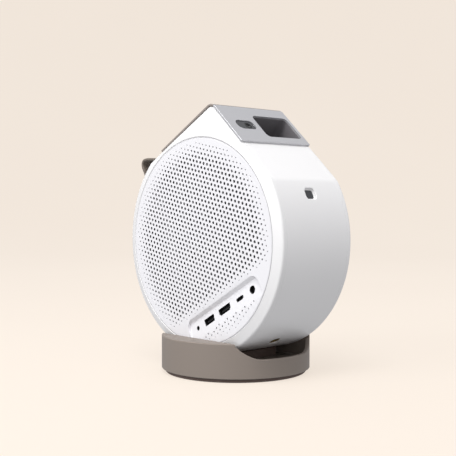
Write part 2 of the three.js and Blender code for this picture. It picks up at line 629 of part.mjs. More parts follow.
// Camera behind its dark window.
const cameraGlassTop = PLATE_THICKNESS + GAP - 0.7;
const cameraEye = [CAMERA.x + CAMERA_EYE.x, CAMERA.up + CAMERA_EYE.up];
const cameraWindow = cut(
  cameraHole(-GAP, cameraGlassTop - 1.2, cameraGlassTop),
  bar('z', -3, 3, CAMERA_EYE.radius + GAP, cameraEye, 24),
);
place('camera_window', cameraWindow, GLASS, lensFlat);
place('camera_lens', bar('z', -4, cameraGlassTop - 0.3, CAMERA_EYE.radius, cameraEye, 24), BLACK, lensFlat);
place('camera_module', cameraHole(-1.2, -CAMERA_DEPTH, -4 - GAP), DARK, lensFlat);

// ---------------------------------------------------------------- barrel fittings

place('sensor_window', sensorTool(0, innerRadius - 1.0, DRUM_RADIUS - SENSOR.recess), GLASS, drum);

const bushTop = -DRUM_RADIUS + 0.4;
place('tripod_bush', cut(
  bar('z', bushTop, bushTop + TRIPOD_BUSH_LENGTH, TRIPOD_BUSH_RADIUS, [0, 0], 24),
  bar('z', bushTop - 1, bushTop + TRIPOD_BUSH_LENGTH - 1.5, TRIPOD_THREAD_RADIUS, [0, 0], 24),
), BRASS, drum);

place('carry_strap', ribbon(STRAP_WIDTH, STRAP_THICKNESS), STRAP_TAUPE, drum);
const clampHalf = STRAP_WIDTH / 2 + 2;
const [strapStartY, strapStartZ] = strapRise[0];
place('strap_clamp_upper', block(-clampHalf, clampHalf, strapStartY - 5, strapStartY + 2,
  strapStartZ - STRAP_THICKNESS - 4, strapStartZ - STRAP_THICKNESS - 0.4), STEEL, drum);
place('strap_clamp_lower', block(-clampHalf, clampHalf, STRAP_BACK - STRAP_THICKNESS / 2 - GAP - 5,
  STRAP_BACK - STRAP_THICKNESS / 2 - GAP - 0.4, strapEntry - 12, strapEntry - 7), STEEL, drum);

// A curved steel strip inside the barrel that the base's magnet holds.
function keeperStrip() {
  const outer = innerRadius - GAP;
  const inner = outer - KEEPER.thickness;
  const from = KEEPER.from * DEG;
  const to = KEEPER.to * DEG;
  const steps = 20;
  const points = [];
  for (let i = 0; i <= steps; i++) points.push(polar(outer, from + (to - from) * i / steps));
  for (let i = steps; i >= 0; i--) points.push(polar(inner, from + (to - from) * i / steps));
  return cut(prismX(points, -KEEPER.half, KEEPER.half),
    bar('z', -DRUM_RADIUS, -innerRadius + 10, TRIPOD_BUSH_RADIUS + RUN_GAP, [0, 0], 24));
}
place('keeper_strip', keeperStrip(), STEEL, drum);

// ---------------------------------------------------------------- cooling

// The fan's lower front corner is set out from the shell's wall.
const fanHalf = FAN.size / 2;
const fanCornerReach = innerRadius - FAN.fromWall;
FAN.y = fanHalf - fanCornerReach * Math.cos(FAN.down * DEG);
FAN.z = fanHalf - fanCornerReach * Math.sin(FAN.down * DEG);
const fanX = [FAN.x, FAN.x + FAN.depth];
const fanBore = fanHalf - FAN.wall;
const fanFrame = cut(
  block(fanX[0], fanX[1], FAN.y - fanHalf, FAN.y + fanHalf, FAN.z - fanHalf, FAN.z + fanHalf),
  bar('x', fanX[0] - 1, fanX[1] - 2, fanBore, [FAN.y, FAN.z], 40),
  cut(
    bar('x', fanX[1] - 3, fanX[1] + 1, fanBore, [FAN.y, FAN.z], 40),
    bar('x', fanX[1] - 4, fanX[1] + 2, FAN.hub, [FAN.y, FAN.z], 32),
    block(fanX[1] - 4, fanX[1] + 2, FAN.y - fanHalf, FAN.y + fanHalf, FAN.z - 1.5, FAN.z + 1.5),
    block(fanX[1] - 4, fanX[1] + 2, FAN.y - 1.5, FAN.y + 1.5, FAN.z - fanHalf, FAN.z + fanHalf),
  ),
);
place('fan_frame', fanFrame, BLACK, drum);

const bladeReach = fanBore - RUN_GAP;
let fanRotor = bar('x', fanX[0] + 1, fanX[1] - 2 - RUN_GAP, FAN.hub, [0, 0], 32);
for (let i = 0; i < FAN.blades; i++) {
  const blade = block(-5, 5, FAN.hub - 1.5, bladeReach - 0.5, -0.6, 0.6);
  blade.rotateY(35 * DEG).translate((fanX[0] + fanX[1]) / 2 - 0.8, 0, 0);
  fanRotor = join(fanRotor, blade.rotateX(2 * Math.PI * i / FAN.blades));
}
place('fan_rotor', fanRotor.translate(0, FAN.y, FAN.z), DARK, drum);

// A finned heat sink in the fan's airflow, with a pipe up to the lamp.
const sinkX = [fanX[1] + GAP, fanX[1] + GAP + SINK.width];
const sinkSpan = [FAN.y - fanHalf + SINK.inset, FAN.y + fanHalf - SINK.inset];
const sinkTop = FAN.z + fanHalf - SINK.inset - 1;
let heatSink = block(sinkX[0], sinkX[1], sinkSpan[0], sinkSpan[1], sinkTop - SINK.slab, sinkTop);
const finPitch = (sinkSpan[1] - sinkSpan[0] - SINK.fin) / (SINK.fins - 1);
for (let i = 0; i < SINK.fins; i++) {
  const y = sinkSpan[0] + i * finPitch;
  heatSink = join(heatSink, block(sinkX[0], sinkX[1], y, y + SINK.fin, FAN.z - fanHalf + 4, sinkTop - 1));
}
place('heat_sink', heatSink, ALUMINIUM, drum);

const pipeX = sinkX[0] + HEAT_PIPE_RADIUS + 2;
const pipeZ = sinkTop + 2 * GAP + HEAT_PIPE_RADIUS;
const lampFoot = pointInDrum((ledX[0] + ledX[1]) / 2, ledUp[0] - GAP, ledOut[1] - HEAT_PIPE_RADIUS);
const pipeRise = new THREE.Vector3(0, ...polar(1, LENS_FLAT_ANGLE * DEG - Math.PI / 2));
const pipeRoute = new THREE.CatmullRomCurve3([
  new THREE.Vector3(pipeX, FAN.y - 4, pipeZ),
  new THREE.Vector3(pipeX, FAN.y + 3, pipeZ),
  new THREE.Vector3(pipeX, FAN.y + 8, pipeZ),
  lampFoot.clone().addScaledVector(pipeRise, -9),
  lampFoot,
]);
const pipeSection = new THREE.Shape().absarc(0, 0, HEAT_PIPE_RADIUS, 0, 2 * Math.PI);
place('heat_pipe', new THREE.ExtrudeGeometry(pipeSection,
  { extrudePath: pipeRoute, steps: 14, curveSegments: 5, bevelEnabled: false }), COPPER, drum);

// ---------------------------------------------------------------- boards and battery

const batteryFront = FAN.y + fanHalf + BATTERY.fromFan;
const batteryY = [batteryFront, batteryFront + BATTERY.length];
const batteryBottom = -Math.sqrt((innerRadius - BATTERY.fromWall) ** 2 - batteryY[1] ** 2);
const batteryTop = batteryBottom + BATTERY.height;
place('battery_pack', block(BATTERY.x, BATTERY.x + BATTERY.width, ...batteryY, batteryBottom, batteryTop),
  BATTERY_BLUE, drum);
const trayY = [batteryY[0] - TRAY.margin, batteryY[1] + TRAY.back];
const trayTop = batteryTop + GAP + TRAY.thickness;
const boardRear = trayY[0] - 4;
place('main_board', block(sinkX[1] + 2, sinkX[1] + 2 + BOARD_THICKNESS, boardRear - MAIN_BOARD.width, boardRear,
  FAN.z - fanHalf, FAN.z - fanHalf + MAIN_BOARD.height), BOARD, drum);
place('inner_tray', block(TRAY.left, TRAY.right, ...trayY, batteryTop + GAP, trayTop), DARK, drum);
place('power_board', block(TRAY.left + 2, TRAY.right - 2, trayY[0] + 4, trayY[1] - 2,
  trayTop + GAP, trayTop + GAP + BOARD_THICKNESS), BOARD, drum);

// ---------------------------------------------------------------- speakers

// Basket, magnet and moving cone of one speaker, facing out through its grille.
const speakerReach = ledgeRadius - SPEAKER.radius - SPEAKER.fromLedge;
function addSpeaker(side, label) {
  const { rim, magnetDepth } = SPEAKER;
  const centre = [Math.sqrt(speakerReach ** 2 - SPEAKER.z ** 2), SPEAKER.z];
  const front = grilleBack - 1.5;
  const back = front - SPEAKER.depth;
  const magnetRadius = SPEAKER.radius * 0.55;
  const coneTop = SPEAKER.radius - rim - RUN_GAP;
  const coneBottom = SPEAKER.radius * 0.36;
  const flare = SPEAKER.depth - magnetDepth;
  const outline = (profile) => {
    const shape = turned([...profile].reverse(), 36).rotateY(Math.PI / 2);
    return (side > 0 ? shape : shape.rotateZ(Math.PI)).translate(0, ...centre);
  };
  const basket = outline([
    [SPEAKER.radius - rim, front], [SPEAKER.radius, front], [SPEAKER.radius, front - 2],
    [magnetRadius + 1.6, back + magnetDepth], [0, back + magnetDepth], [0, back + magnetDepth + 1.5],
    [magnetRadius, back + magnetDepth + 1.5], [SPEAKER.radius - rim, front - 3], [SPEAKER.radius - rim, front],
  ]);
  place(`${label}_speaker_basket`, basket, STEEL, drum);
  const magnetTop = back + magnetDepth - GAP;
  place(`${label}_speaker_magnet`, sideBar(side, back, magnetTop, magnetRadius, centre, 28), STEEL, drum);
  const coneFront = front - 1;
  const coneBack = front - flare * 0.55;
  const cone = outline([
    [0, coneBack + 3], [coneBottom, coneBack + 1.5], [coneTop, coneFront], [coneTop, coneFront - 1],
    [coneBottom, coneBack], [0, coneBack], [0, coneBack + 3],
  ]);
  place(`${label}_speaker_cone`, cone, PAPER, drum);
}
addSpeaker(-1, 'left');
addSpeaker(1, 'right');

// ---------------------------------------------------------------- cradle base

const cheekInner = FACE_HALF + CHEEK_CLEARANCE;
const tall = 200;             // longer than anything that it cuts

// The front and rear walls dip between the cheeks: low in the middle, sweeping up at each side.
function dipOutline() {
  const steps = 7;
  const sweep = [];
  for (let i = 0; i <= steps; i++) {
    const x = DIP_SWEEP * i / steps;
    sweep.push([cheekInner - DIP_SWEEP + x, DIP_HEIGHT + DIP_FILLET - Math.sqrt(DIP_FILLET ** 2 - x ** 2)]);
  }
  const left = sweep.map(([x, z]) => [-x, z]).reverse();
  const right = [[cheekInner, CHEEK_TOP + 20]];
  return new THREE.Shape([[-cheekInner, CHEEK_TOP + 20], ...left, ...sweep, ...right]
    .map(([x, z]) => new THREE.Vector2(x, z)));
}
const dip = slab(dipOutline(), -tall / 2, tall / 2).rotateX(Math.PI / 2);
const innerWall = BASE_RADIUS - BASE_WALL;
const channel = overlap(
  bar('z', BASE_FLOOR_TOP, CHEEK_TOP + 5, innerWall, [0, 0], 60),
  block(-cheekInner, cheekInner, -tall, tall, 0, tall),
);
const undersideRoof = BASE_FLOOR_TOP - BASE_FLOOR;
const underside = bar('z', BASE_BOTTOM - 1, undersideRoof, innerWall, [0, 0], 60);
const cheekHollow = cut(
  bar('z', undersideRoof - 1, CHEEK_TOP - CHEEK_WALL, innerWall, [0, 0], 60),
  block(-cheekInner - CHEEK_WALL, cheekInner + CHEEK_WALL, -tall, tall, 0, tall),
);
// Room for the drum to roll, also where the walls sweep up beside it.
const drumRoom = bar('x', -cheekInner, cheekInner, DRUM_RADIUS + RUN_GAP, [0, DRUM_AXIS_HEIGHT], 72);
const baseShell = cut(
  bar('z', BASE_BOTTOM, CHEEK_TOP, BASE_RADIUS, [0, 0], 60),
  dip, channel, underside, cheekHollow, drumRoom,
);
place('base_shell', baseShell, TAUPE, projector);

// The saddle that carries the drum: its top is a trough just larger than the drum.
function saddleOutline() {
  const trough = DRUM_RADIUS + RUN_GAP;
  const steps = 12;
  const points = [[SADDLE.reach, BASE_FLOOR_TOP + GAP]];
  for (let i = 0; i <= steps; i++) {
    const y = SADDLE.reach - 2 * SADDLE.reach * i / steps;
    points.push([y, DRUM_AXIS_HEIGHT - Math.sqrt(trough ** 2 - y ** 2)]);
  }
  return [...points, [-SADDLE.reach, BASE_FLOOR_TOP + GAP]];
}
place('saddle_pad', prismX(saddleOutline(), -SADDLE.half, SADDLE.half), RUBBER, projector);

// Below the floor: a magnet inside a steel weight, closed by a plate with screws.
const plateRadius = innerWall - GAP;
const plateTop = BASE_BOTTOM + BOTTOM_PLATE;
const screwCircle = BASE_RADIUS - SCREW_FROM_EDGE;
const screwSpots = [90, 210, 330].map((angle) => [
  screwCircle * Math.cos(angle * DEG), screwCircle * Math.sin(angle * DEG),
]);
place('bottom_plate', cut(
  bar('z', BASE_BOTTOM, plateTop, plateRadius, [0, 0], 60),
  ...screwSpots.map((spot) => bar('z', BASE_BOTTOM - 1, plateTop + 1, SCREW_HEAD_RADIUS + GAP, spot, 16)),
), DARK, projector);
screwSpots.forEach((spot, index) => {
  place(`base_screw_${index + 1}`, bar('z', BASE_BOTTOM, plateTop, SCREW_HEAD_RADIUS, spot, 16), STEEL, projector);
});

const weightTop = undersideRoof - GAP;
place('base_weight', cut(
  bar('z', plateTop + GAP, weightTop, BASE_RADIUS - WEIGHT_FROM_EDGE, [0, 0], 48),
  bar('z', plateTop - 1, weightTop + 1, WEIGHT_BORE, [0, 0], 36),
), STEEL, projector);
place('base_magnet', bar('z', plateTop + GAP, weightTop, BASE_MAGNET_RADIUS, [0, 0], 32), STEEL, projector);

// Anti-slip foot under the plate.
place('foot_pad', bar('z', 0, BASE_BOTTOM - GAP, BASE_RADIUS - FOOT_INSET, [0, 0], 60), RUBBER, projector);

export default projector;
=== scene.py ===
# %% [markdown]
# # A drum-shaped home projector
#
# The projector is a white drum that rolls in a round cradle. Each end of the drum is a speaker
# grille, the front flat carries the lens and the top flat carries the buttons. This lesson builds
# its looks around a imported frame, which already has every piece in its right place and size.
# All measures are in metres. The main sizes are read from the frame, and the small ones are here.

# %% Load the frame
import json
import math

import bpy
from mathutils import Matrix, Vector


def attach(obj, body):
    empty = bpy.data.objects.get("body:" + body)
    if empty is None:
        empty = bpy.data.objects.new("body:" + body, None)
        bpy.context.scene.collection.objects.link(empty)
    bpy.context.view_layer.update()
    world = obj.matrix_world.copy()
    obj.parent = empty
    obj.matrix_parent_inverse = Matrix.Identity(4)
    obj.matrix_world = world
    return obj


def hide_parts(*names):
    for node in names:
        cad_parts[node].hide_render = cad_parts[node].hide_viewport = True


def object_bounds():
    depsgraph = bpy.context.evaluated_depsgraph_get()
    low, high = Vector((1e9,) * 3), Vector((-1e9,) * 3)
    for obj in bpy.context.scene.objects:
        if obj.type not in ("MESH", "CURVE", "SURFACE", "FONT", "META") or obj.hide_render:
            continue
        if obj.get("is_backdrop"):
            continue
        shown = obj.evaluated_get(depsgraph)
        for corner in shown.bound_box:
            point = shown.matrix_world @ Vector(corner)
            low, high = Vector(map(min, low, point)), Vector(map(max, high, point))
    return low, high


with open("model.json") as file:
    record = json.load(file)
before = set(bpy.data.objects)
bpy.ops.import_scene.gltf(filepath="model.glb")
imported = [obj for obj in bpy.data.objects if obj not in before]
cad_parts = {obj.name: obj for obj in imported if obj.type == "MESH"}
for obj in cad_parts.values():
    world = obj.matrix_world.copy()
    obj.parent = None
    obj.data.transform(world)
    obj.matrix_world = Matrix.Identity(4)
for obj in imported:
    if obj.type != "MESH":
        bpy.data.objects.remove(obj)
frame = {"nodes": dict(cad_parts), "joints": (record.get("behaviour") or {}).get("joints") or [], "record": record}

cad_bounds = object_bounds()
MM = 0.001
print("frame loaded:", len(frame["nodes"]), "nodes")

# %% [markdown]
# The drum leans back in its cradle, so its own level frame is turned. The tilt joint gives the
# axle, a button's direction gives the normal of the top flat, and the focus slide gives the normal
# of the lens flat. One matrix holds the drum's place and one the lens flat's, and each end face
# gets its own later. A piece is drawn flat and level, and is carried to its place at the end.

# %% Places taken from the frame
joints = {joint["name"]: joint for joint in frame["joints"]}
AXLE = Vector(joints["drum_tilt"]["pos_m"])
TOP_NORMAL = -Vector(joints["power_button_press"]["axis"])
LENS_NORMAL = Vector(joints["focus_travel"]["axis"])
LEAN = math.atan2(TOP_NORMAL.y, TOP_NORMAL.z)
LENS_ANGLE = TOP_NORMAL.angle(LENS_NORMAL)
DRUM = Matrix.Translation(AXLE) @ Matrix.Rotation(-LEAN, 4, "X")


def node_points(node, place):
    """A node's corners in a local frame."""
    back = place.inverted()
    return [back @ vertex.co for vertex in frame["nodes"][node].data.vertices]


def node_box(node, place):
    """A node's lowest and highest corner in a local frame."""
    columns = list(zip(*node_points(node, place)))
    return Vector(map(min, columns)), Vector(map(max, columns))


def node_radius(node):
    """How far a node reaches from the axle, below the axle."""
    return max(math.hypot(p.y, p.z) for p in node_points(node, DRUM) if p.z < 0)


DRUM_RADIUS = node_radius("barrel_shell")
GRILLE_RADIUS = node_radius("right_grille")
FACE_HALF = node_box("right_grille", DRUM)[1].x
GRILLE_BACK = node_box("right_grille", DRUM)[0].x
FLAT_OFFSET = node_box("barrel_shell", DRUM)[1].z
LENS_FOOT = Vector((0, -FLAT_OFFSET * math.sin(LENS_ANGLE), FLAT_OFFSET * math.cos(LENS_ANGLE)))
LENS_FLAT = DRUM @ Matrix.Translation(LENS_FOOT) @ Matrix.Rotation(LENS_ANGLE, 4, "X")
GAP = 0.3 * MM
SHELL_WALL = 2.6 * MM
RIDGE_RADIUS = 6.5 * MM
FACE_PROUD = 3.0 * MM
BARREL_HALF = FACE_HALF - FACE_PROUD
print("drum radius", round(DRUM_RADIUS / MM, 2), "mm, flats at", round(FLAT_OFFSET / MM, 2), "mm")
print("lean", round(math.degrees(LEAN), 1), "degrees, lens flat at", round(math.degrees(LENS_ANGLE), 1))

# %% [markdown]
# The camera stands at the front left, a little above the table, with a long lens, so that the
# grille and the barrel both show. The room is a plain cream studio: one surface that is floor and
# backdrop in one, a large soft light to the left, and a second one high in front.

# %% Camera
CAMERA_FROM_AXLE = Vector((-0.5057, -0.5371, 0.0268))
CAMERA_TURN = math.radians(42.79)
CAMERA_DIP = math.radians(1.345)
camera_data = bpy.data.cameras.new("camera")
camera_data.lens = 71.7
camera_data.sensor_width = 36.0
camera = bpy.data.objects.new("camera", camera_data)
camera.location = AXLE + CAMERA_FROM_AXLE
camera.rotation_euler = (math.pi / 2 - CAMERA_DIP, 0, -CAMERA_TURN)
bpy.context.scene.collection.objects.link(camera)
bpy.context.scene.camera = camera
bpy.context.scene.view_settings.view_transform = "Standard"
print("camera at", [round(value, 3) for value in camera.location])

# %% [markdown]
# Every finish here is written as arithmetic. A `Field` wraps one socket of a shader node, and the
# operators add Math nodes, so a mottle is written as `0.4 + 0.1 * grain`. The `Look` class holds
# one material and has one method that makes any other node.

# %% Shader arithmetic
def add_node(tree, kind, settings, inputs):
    """Makes a node: its settings come first, then the values or links of its sockets."""
    node = tree.nodes.new(kind)
    for key, value in (settings or {}).items():
        setattr(node, key, value)
    for key, value in inputs.items() if isinstance(inputs, dict) else enumerate(inputs):
        value = value.socket if isinstance(value, Field) else value
        if isinstance(value, bpy.types.NodeSocket):
            tree.links.new(value, node.inputs[key])
        else:
            node.inputs[key].default_value = value
    return node.outputs


class Field:
    """One output of a shader node, for use in plain arithmetic."""

    def __init__(self, look, socket):
        self.look = look
        self.socket = socket

    def math(self, operation, *others):
        return self.look.node("ShaderNodeMath", {"operation": operation}, [self, *others])[0]

    def __add__(self, other):
        return self.math("ADD", other)

    def __sub__(self, other):
        return self.math("SUBTRACT", other)

    def __mul__(self, other):
        return self.math("MULTIPLY", other)

    def __rsub__(self, other):
        return self.look.node("ShaderNodeMath", {"operation": "SUBTRACT"}, [other, self])[0]

    __radd__ = __add__
    __rmul__ = __mul__

    def step(self, low, high):
        """0 below low, 1 above high, smooth between."""
        inputs = {"Value": self, "From Min": low, "From Max": high}
        return self.look.node("ShaderNodeMapRange", {"interpolation_type": "SMOOTHSTEP"}, inputs)[0]


class Look:
    """One material, with its shader's fixed values and the fields that vary over the surface."""

    def __init__(self, name, **fixed):
        self.material = bpy.data.materials.new(name)
        self.material.use_nodes = True
        self.tree = self.material.node_tree
        self.shader = self.tree.nodes["Principled BSDF"]
        for socket, value in fixed.items():
            self.shader.inputs[socket.replace("_", " ")].default_value = value
        self.place = self.node("ShaderNodeTexCoord")[3]

    def node(self, kind, settings=None, inputs=()):
        return [Field(self, socket) for socket in add_node(self.tree, kind, settings, inputs)]

    def noise(self, size, detail=2.0, stretch=None):
        """Soft noise from 0 to 1 with features of a given size in metres."""
        place = self.place
        if stretch:
            place = self.node("ShaderNodeMapping", None, {"Vector": place, "Scale": stretch})[0]
        inputs = {"Vector": place, "Scale": 1 / size, "Detail": detail}
        return self.node("ShaderNodeTexNoise", None, inputs)[0]

    def cells(self, size, feature="F1"):
        """Distance to the nearest of many random points, a given size apart."""
        inputs = {"Vector": self.place, "Scale": 1 / size}
        return self.node("ShaderNodeTexVoronoi", {"feature": feature}, inputs)[0]

    def blend(self, factor, low, high):
        """Goes from one colour to another. The Mix node's colours are its sockets 6 and 7."""
        low, high = (end if isinstance(end, Field) else (*end, 1.0) for end in (low, high))
        return self.node("ShaderNodeMix", {"data_type": "RGBA"}, {"Factor": factor, 6: low, 7: high})[2]

    def set(self, **fields):
        for socket, field in fields.items():
            self.tree.links.new(field.socket, self.shader.inputs[socket.replace("_", " ")])
        return self

    def bump(self, height, depth, strength=1.0):
        """Relief whose full height is depth metres."""
        inputs = {"Height": height, "Distance": depth, "Strength": strength}
        return self.set(Normal=self.node("ShaderNodeBump", None, inputs)[0])


def paint(red, green, blue):
    """A display colour from 0 to 255 as the linear colour that shaders use."""
    def linear(value):
        share = value / 255
        return share / 12.92 if share <= 0.04045 else ((share + 0.055) / 1.055) ** 2.4
    return linear(red), linear(green), linear(blue)


# %% [markdown]
# The finishes. Moulded plastic is never quite even: it has a very fine spark-eroded texture, a
# roughness that drifts over a hand's breadth, and a trace of colour drift. Powder coat has orange
# peel, blasted metal has a glitter-fine grain, the strap has leather-like cells, and rubber is
# dull with fine pits. Each function below makes one of them from those ideas.

# %% Moulded plastics and coatings
def moulded(name, shade, rough, grain=0.35 * MM, depth=0.006 * MM, drift=0.04, **fixed):
    look = Look(name, **fixed)
    broad = look.noise(60 * MM, 3.0)
    fine = look.noise(grain, 3.0)
    darker = tuple(value * (1 - drift) for value in shade)
    look.set(Base_Color=look.blend(broad, shade, darker))
    look.set(Roughness=rough + 0.08 * (broad - 0.5) + 0.05 * (fine - 0.5))
    return look.bump(fine, depth)


def powder_coat(name, shade, rough):
    look = Look(name)
    peel = look.noise(1.1 * MM, 1.0)
    speckle = look.cells(0.5 * MM)
    drift = look.noise(80 * MM)
    look.set(Base_Color=look.blend(drift, shade, tuple(value * 0.97 for value in shade)))
    look.set(Roughness=rough + 0.1 * (peel - 0.5))
    return look.bump(0.7 * peel + 0.3 * speckle, 0.012 * MM)


white_shell = moulded("white_shell", paint(244, 243, 243), 0.4, Coat_Weight=0.12, Coat_Roughness=0.25)
grille_white = powder_coat("grille_white", paint(240, 239, 242), 0.5)
taupe_base = moulded("taupe_base", paint(140, 129, 120), 0.5, grain=0.5 * MM, depth=0.012 * MM)
taupe_plate = moulded("taupe_plate", paint(152, 142, 135), 0.45, grain=0.4 * MM)
dark_plastic = moulded("dark_plastic", paint(72, 69, 72), 0.55, depth=0.01 * MM)
well_plastic = moulded("well_plastic", paint(118, 115, 118), 0.5, depth=0.01 * MM)
black_plastic = moulded("black_plastic", paint(22, 22, 24), 0.35)
port_plastic = moulded("port_plastic", paint(20, 20, 22), 0.5)
print("plastics and coatings made")

# %% Metals
def blasted(name, shade, rough, metallic=1.0):
    look = Look(name, Metallic=metallic)
    grit = look.noise(0.25 * MM, 4.0)
    cloud = look.noise(45 * MM)
    look.set(Base_Color=look.blend(cloud, shade, tuple(value * 0.95 for value in shade)))
    look.set(Roughness=rough + 0.12 * (grit - 0.5))
    return look.bump(grit, 0.006 * MM)


def brushed(name, shade, rough, stretch=(1.0, 18.0, 18.0)):
    look = Look(name, Metallic=1.0)
    scratch = look.noise(6 * MM, 4.0, stretch)
    stain = look.noise(12 * MM)
    look.set(Base_Color=look.blend(stain, shade, tuple(value * 0.86 for value in shade)))
    look.set(Roughness=rough + 0.16 * (scratch - 0.5))
    return look.bump(scratch, 0.01 * MM)


silver_plate = blasted("silver_plate", paint(205, 205, 208), 0.42, metallic=0.55)
cast_alloy = blasted("cast_alloy", paint(190, 192, 194), 0.5)
steel = brushed("steel", paint(176, 178, 180), 0.32)
brass = brushed("brass", paint(196, 168, 92), 0.3)
copper = brushed("copper", paint(196, 122, 84), 0.28)
print("metals made")

# %% Soft and clear finishes
def strap_skin_look():
    look = Look("strap_skin", Sheen_Weight=0.15, Sheen_Roughness=0.5)
    pores = look.cells(0.9 * MM)
    crease = look.noise(5 * MM, 4.0)
    worn = look.noise(20 * MM)
    shade = look.blend(worn.step(0.35, 0.7), paint(106, 96, 87), paint(117, 107, 97))
    look.set(Base_Color=shade, Roughness=0.55 + 0.2 * (pores - 0.4))
    return look.bump(0.75 * pores + 0.5 * crease, 0.035 * MM)


def rubber_look():
    look = Look("soft_rubber")
    pits = look.noise(0.4 * MM, 3.0)
    dust = look.noise(9 * MM, 4.0).step(0.5, 0.75)
    # Partly the rubber's own colour, partly painted shadow: the reddish brown stands in for the warm contact
    # shadow under the base's edge.
    look.set(Base_Color=look.blend(dust, paint(98, 82, 75), paint(112, 96, 88)))
    look.set(Roughness=0.78 + 0.15 * (pits - 0.5))
    return look.bump(pits, 0.03 * MM)


def glass_look(name, shade, rough=0.04, **fixed):
    look = Look(name, IOR=1.45, Coat_Weight=0.4, Coat_Roughness=0.03, **fixed)
    smear = look.noise(7 * MM, 3.0)
    dust = look.cells(1.6 * MM).step(0.0, 0.05)
    look.set(Base_Color=look.blend(dust, tuple(value * 1.3 for value in shade), shade))
    return look.set(Roughness=rough + 0.05 * smear.step(0.5, 0.8))


strap_skin = strap_skin_look()
soft_rubber = rubber_look()
dark_glass = glass_look("dark_glass", paint(50, 51, 55), 0.16)
eye_glass = glass_look("eye_glass", paint(10, 10, 12))
lens_glass = glass_look("lens_glass", paint(38, 34, 62))
print("soft and clear finishes made")

# %% Hidden finishes: boards, paper, cloth and shrink wrap
def board_look():
    look = Look("circuit_board", Coat_Weight=0.4, Coat_Roughness=0.2)
    inputs = {"Vector": look.place, "Scale": 1 / (9 * MM), "Mortar Size": 0.06, "Row Height": 0.35}
    tracks = look.node("ShaderNodeTexBrick", None, inputs)[1]
    pads = look.cells(4 * MM).step(0.08, 0.14)
    green = look.blend(tracks, paint(22, 74, 46), paint(38, 104, 66))
    look.set(Base_Color=look.blend(1 - pads, green, paint(190, 164, 96)), Roughness=0.35 + 0.2 * tracks)
    return look.bump(tracks + (1 - pads), 0.05 * MM)


def paper_look():
    look = Look("cone_paper")
    fibre = look.noise(0.8 * MM, 5.0, (1.0, 3.0, 3.0))
    look.set(Base_Color=look.blend(fibre, paint(38, 38, 40), paint(58, 57, 58)))
    look.set(Roughness=0.8 + 0.2 * (fibre - 0.5))
    return look.bump(fibre, 0.08 * MM)


def cloth_look():
    look = Look("acoustic_cloth", Sheen_Weight=0.2)
    weave = look.cells(0.45 * MM)
    look.set(Base_Color=look.blend(weave, paint(9, 9, 10), paint(24, 23, 24)))
    look.set(Roughness=0.85 + 0.1 * (weave - 0.5))
    return look.bump(weave, 0.08 * MM)


circuit_board = board_look()
cone_paper = paper_look()
acoustic_cloth = cloth_look()
battery_wrap = moulded("battery_wrap", paint(44, 78, 118), 0.3, grain=3 * MM, depth=0.05 * MM)
print("hidden finishes made")

# %% [markdown]
# Not every node needs a new mesh. What sits inside, such as the fan, the boards and the speakers,
# keeps its own shape and only gets its finish. The record says which material slot each node
# takes, so one table from slot to finish dresses them all.

# %% Dress every node by its slot
FINISHES = {
    "white_shell": white_shell, "grille_white": grille_white, "silver_plate": silver_plate,
    "taupe_plate": taupe_plate, "taupe_base": taupe_base, "strap_skin": strap_skin,
    "dark_plastic": dark_plastic, "black_plastic": black_plastic, "dark_glass": dark_glass,
    "lens_glass": lens_glass, "soft_rubber": soft_rubber, "circuit_board": circuit_board,
    "cast_alloy": cast_alloy, "copper": copper, "steel": steel, "brass": brass,
    "cone_paper": cone_paper, "battery_wrap": battery_wrap,
}
for subpart in frame["record"]["subparts"]:
    node = frame["nodes"][subpart["node"]]
    node.data.materials.clear()
    node.data.materials.append(FINISHES[subpart["material_slot"]].material)

# %% [markdown]
# The outer pieces are rebuilt with fine, smooth surfaces. Five small helpers do the mesh work:
# `mesh_piece` makes an object from points and faces, `bake` applies its modifiers, `carve` cuts
# with Boolean modifiers, `soften` rounds the sharp edges with a Bevel modifier, and `finish` sets
# the shading, carries the piece to its place, hangs it on the body it rides on and hides the
# frame's nodes it stands for. Its weighted normals keep large flat faces even where a small round
# edge meets them.

# %% Mesh helpers
def mesh_piece(name, points, faces):
    mesh = bpy.data.meshes.new(name)
    mesh.from_pydata([tuple(point) for point in points], [], faces)
    mesh.validate()
    piece = bpy.data.objects.new(name, mesh)
    bpy.context.scene.collection.objects.link(piece)
    return piece


def bake(piece):
    """Turns a piece's modifiers into plain mesh."""
    bpy.context.view_layer.update()
    result = bpy.data.meshes.new_from_object(piece.evaluated_get(bpy.context.evaluated_depsgraph_get()))
    piece.modifiers.clear()
    piece.data = result
    return piece


def carve(piece, *tools, operation="DIFFERENCE", solver="EXACT"):
    for tool in tools:
        cutter = piece.modifiers.new("cut", "BOOLEAN")
        cutter.operation = operation
        cutter.solver = solver
        cutter.object = tool
    bake(piece)
    for tool in tools:
        bpy.data.objects.remove(tool)
    return piece


def soften(piece, width, angle=40, segments=3):
    bevel = piece.modifiers.new("soften", "BEVEL")
    bevel.width = width
    bevel.segments = segments
    bevel.limit_method = "ANGLE"
    bevel.angle_limit = math.radians(angle)
    bevel.miter_outer = "MITER_ARC"
    return bake(piece)


def finish(piece, body, look, slot, *nodes, place=None, sharp=32):
    if place:
        piece.data.transform(place)
    piece.data.materials.clear()
    piece.data.materials.append(look.material)
    piece.data.polygons.foreach_set("use_smooth", [True] * len(piece.data.polygons))
    piece.data.set_sharp_from_angle(angle=math.radians(sharp))
    even = piece.modifiers.new("even_normals", "WEIGHTED_NORMAL")
    even.weight = 100
    even.keep_sharp = True
    bake(piece)
    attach(piece, body)
    if nodes:
        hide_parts(*nodes)
    print(piece.name, len(piece.data.polygons), "faces")
    return piece


# %% [markdown]
# Most of the shapes are lofts: rings of the same number of points, joined one to the next. A loft
# can close on itself, as the side frame's ring does, or end in two flat caps.

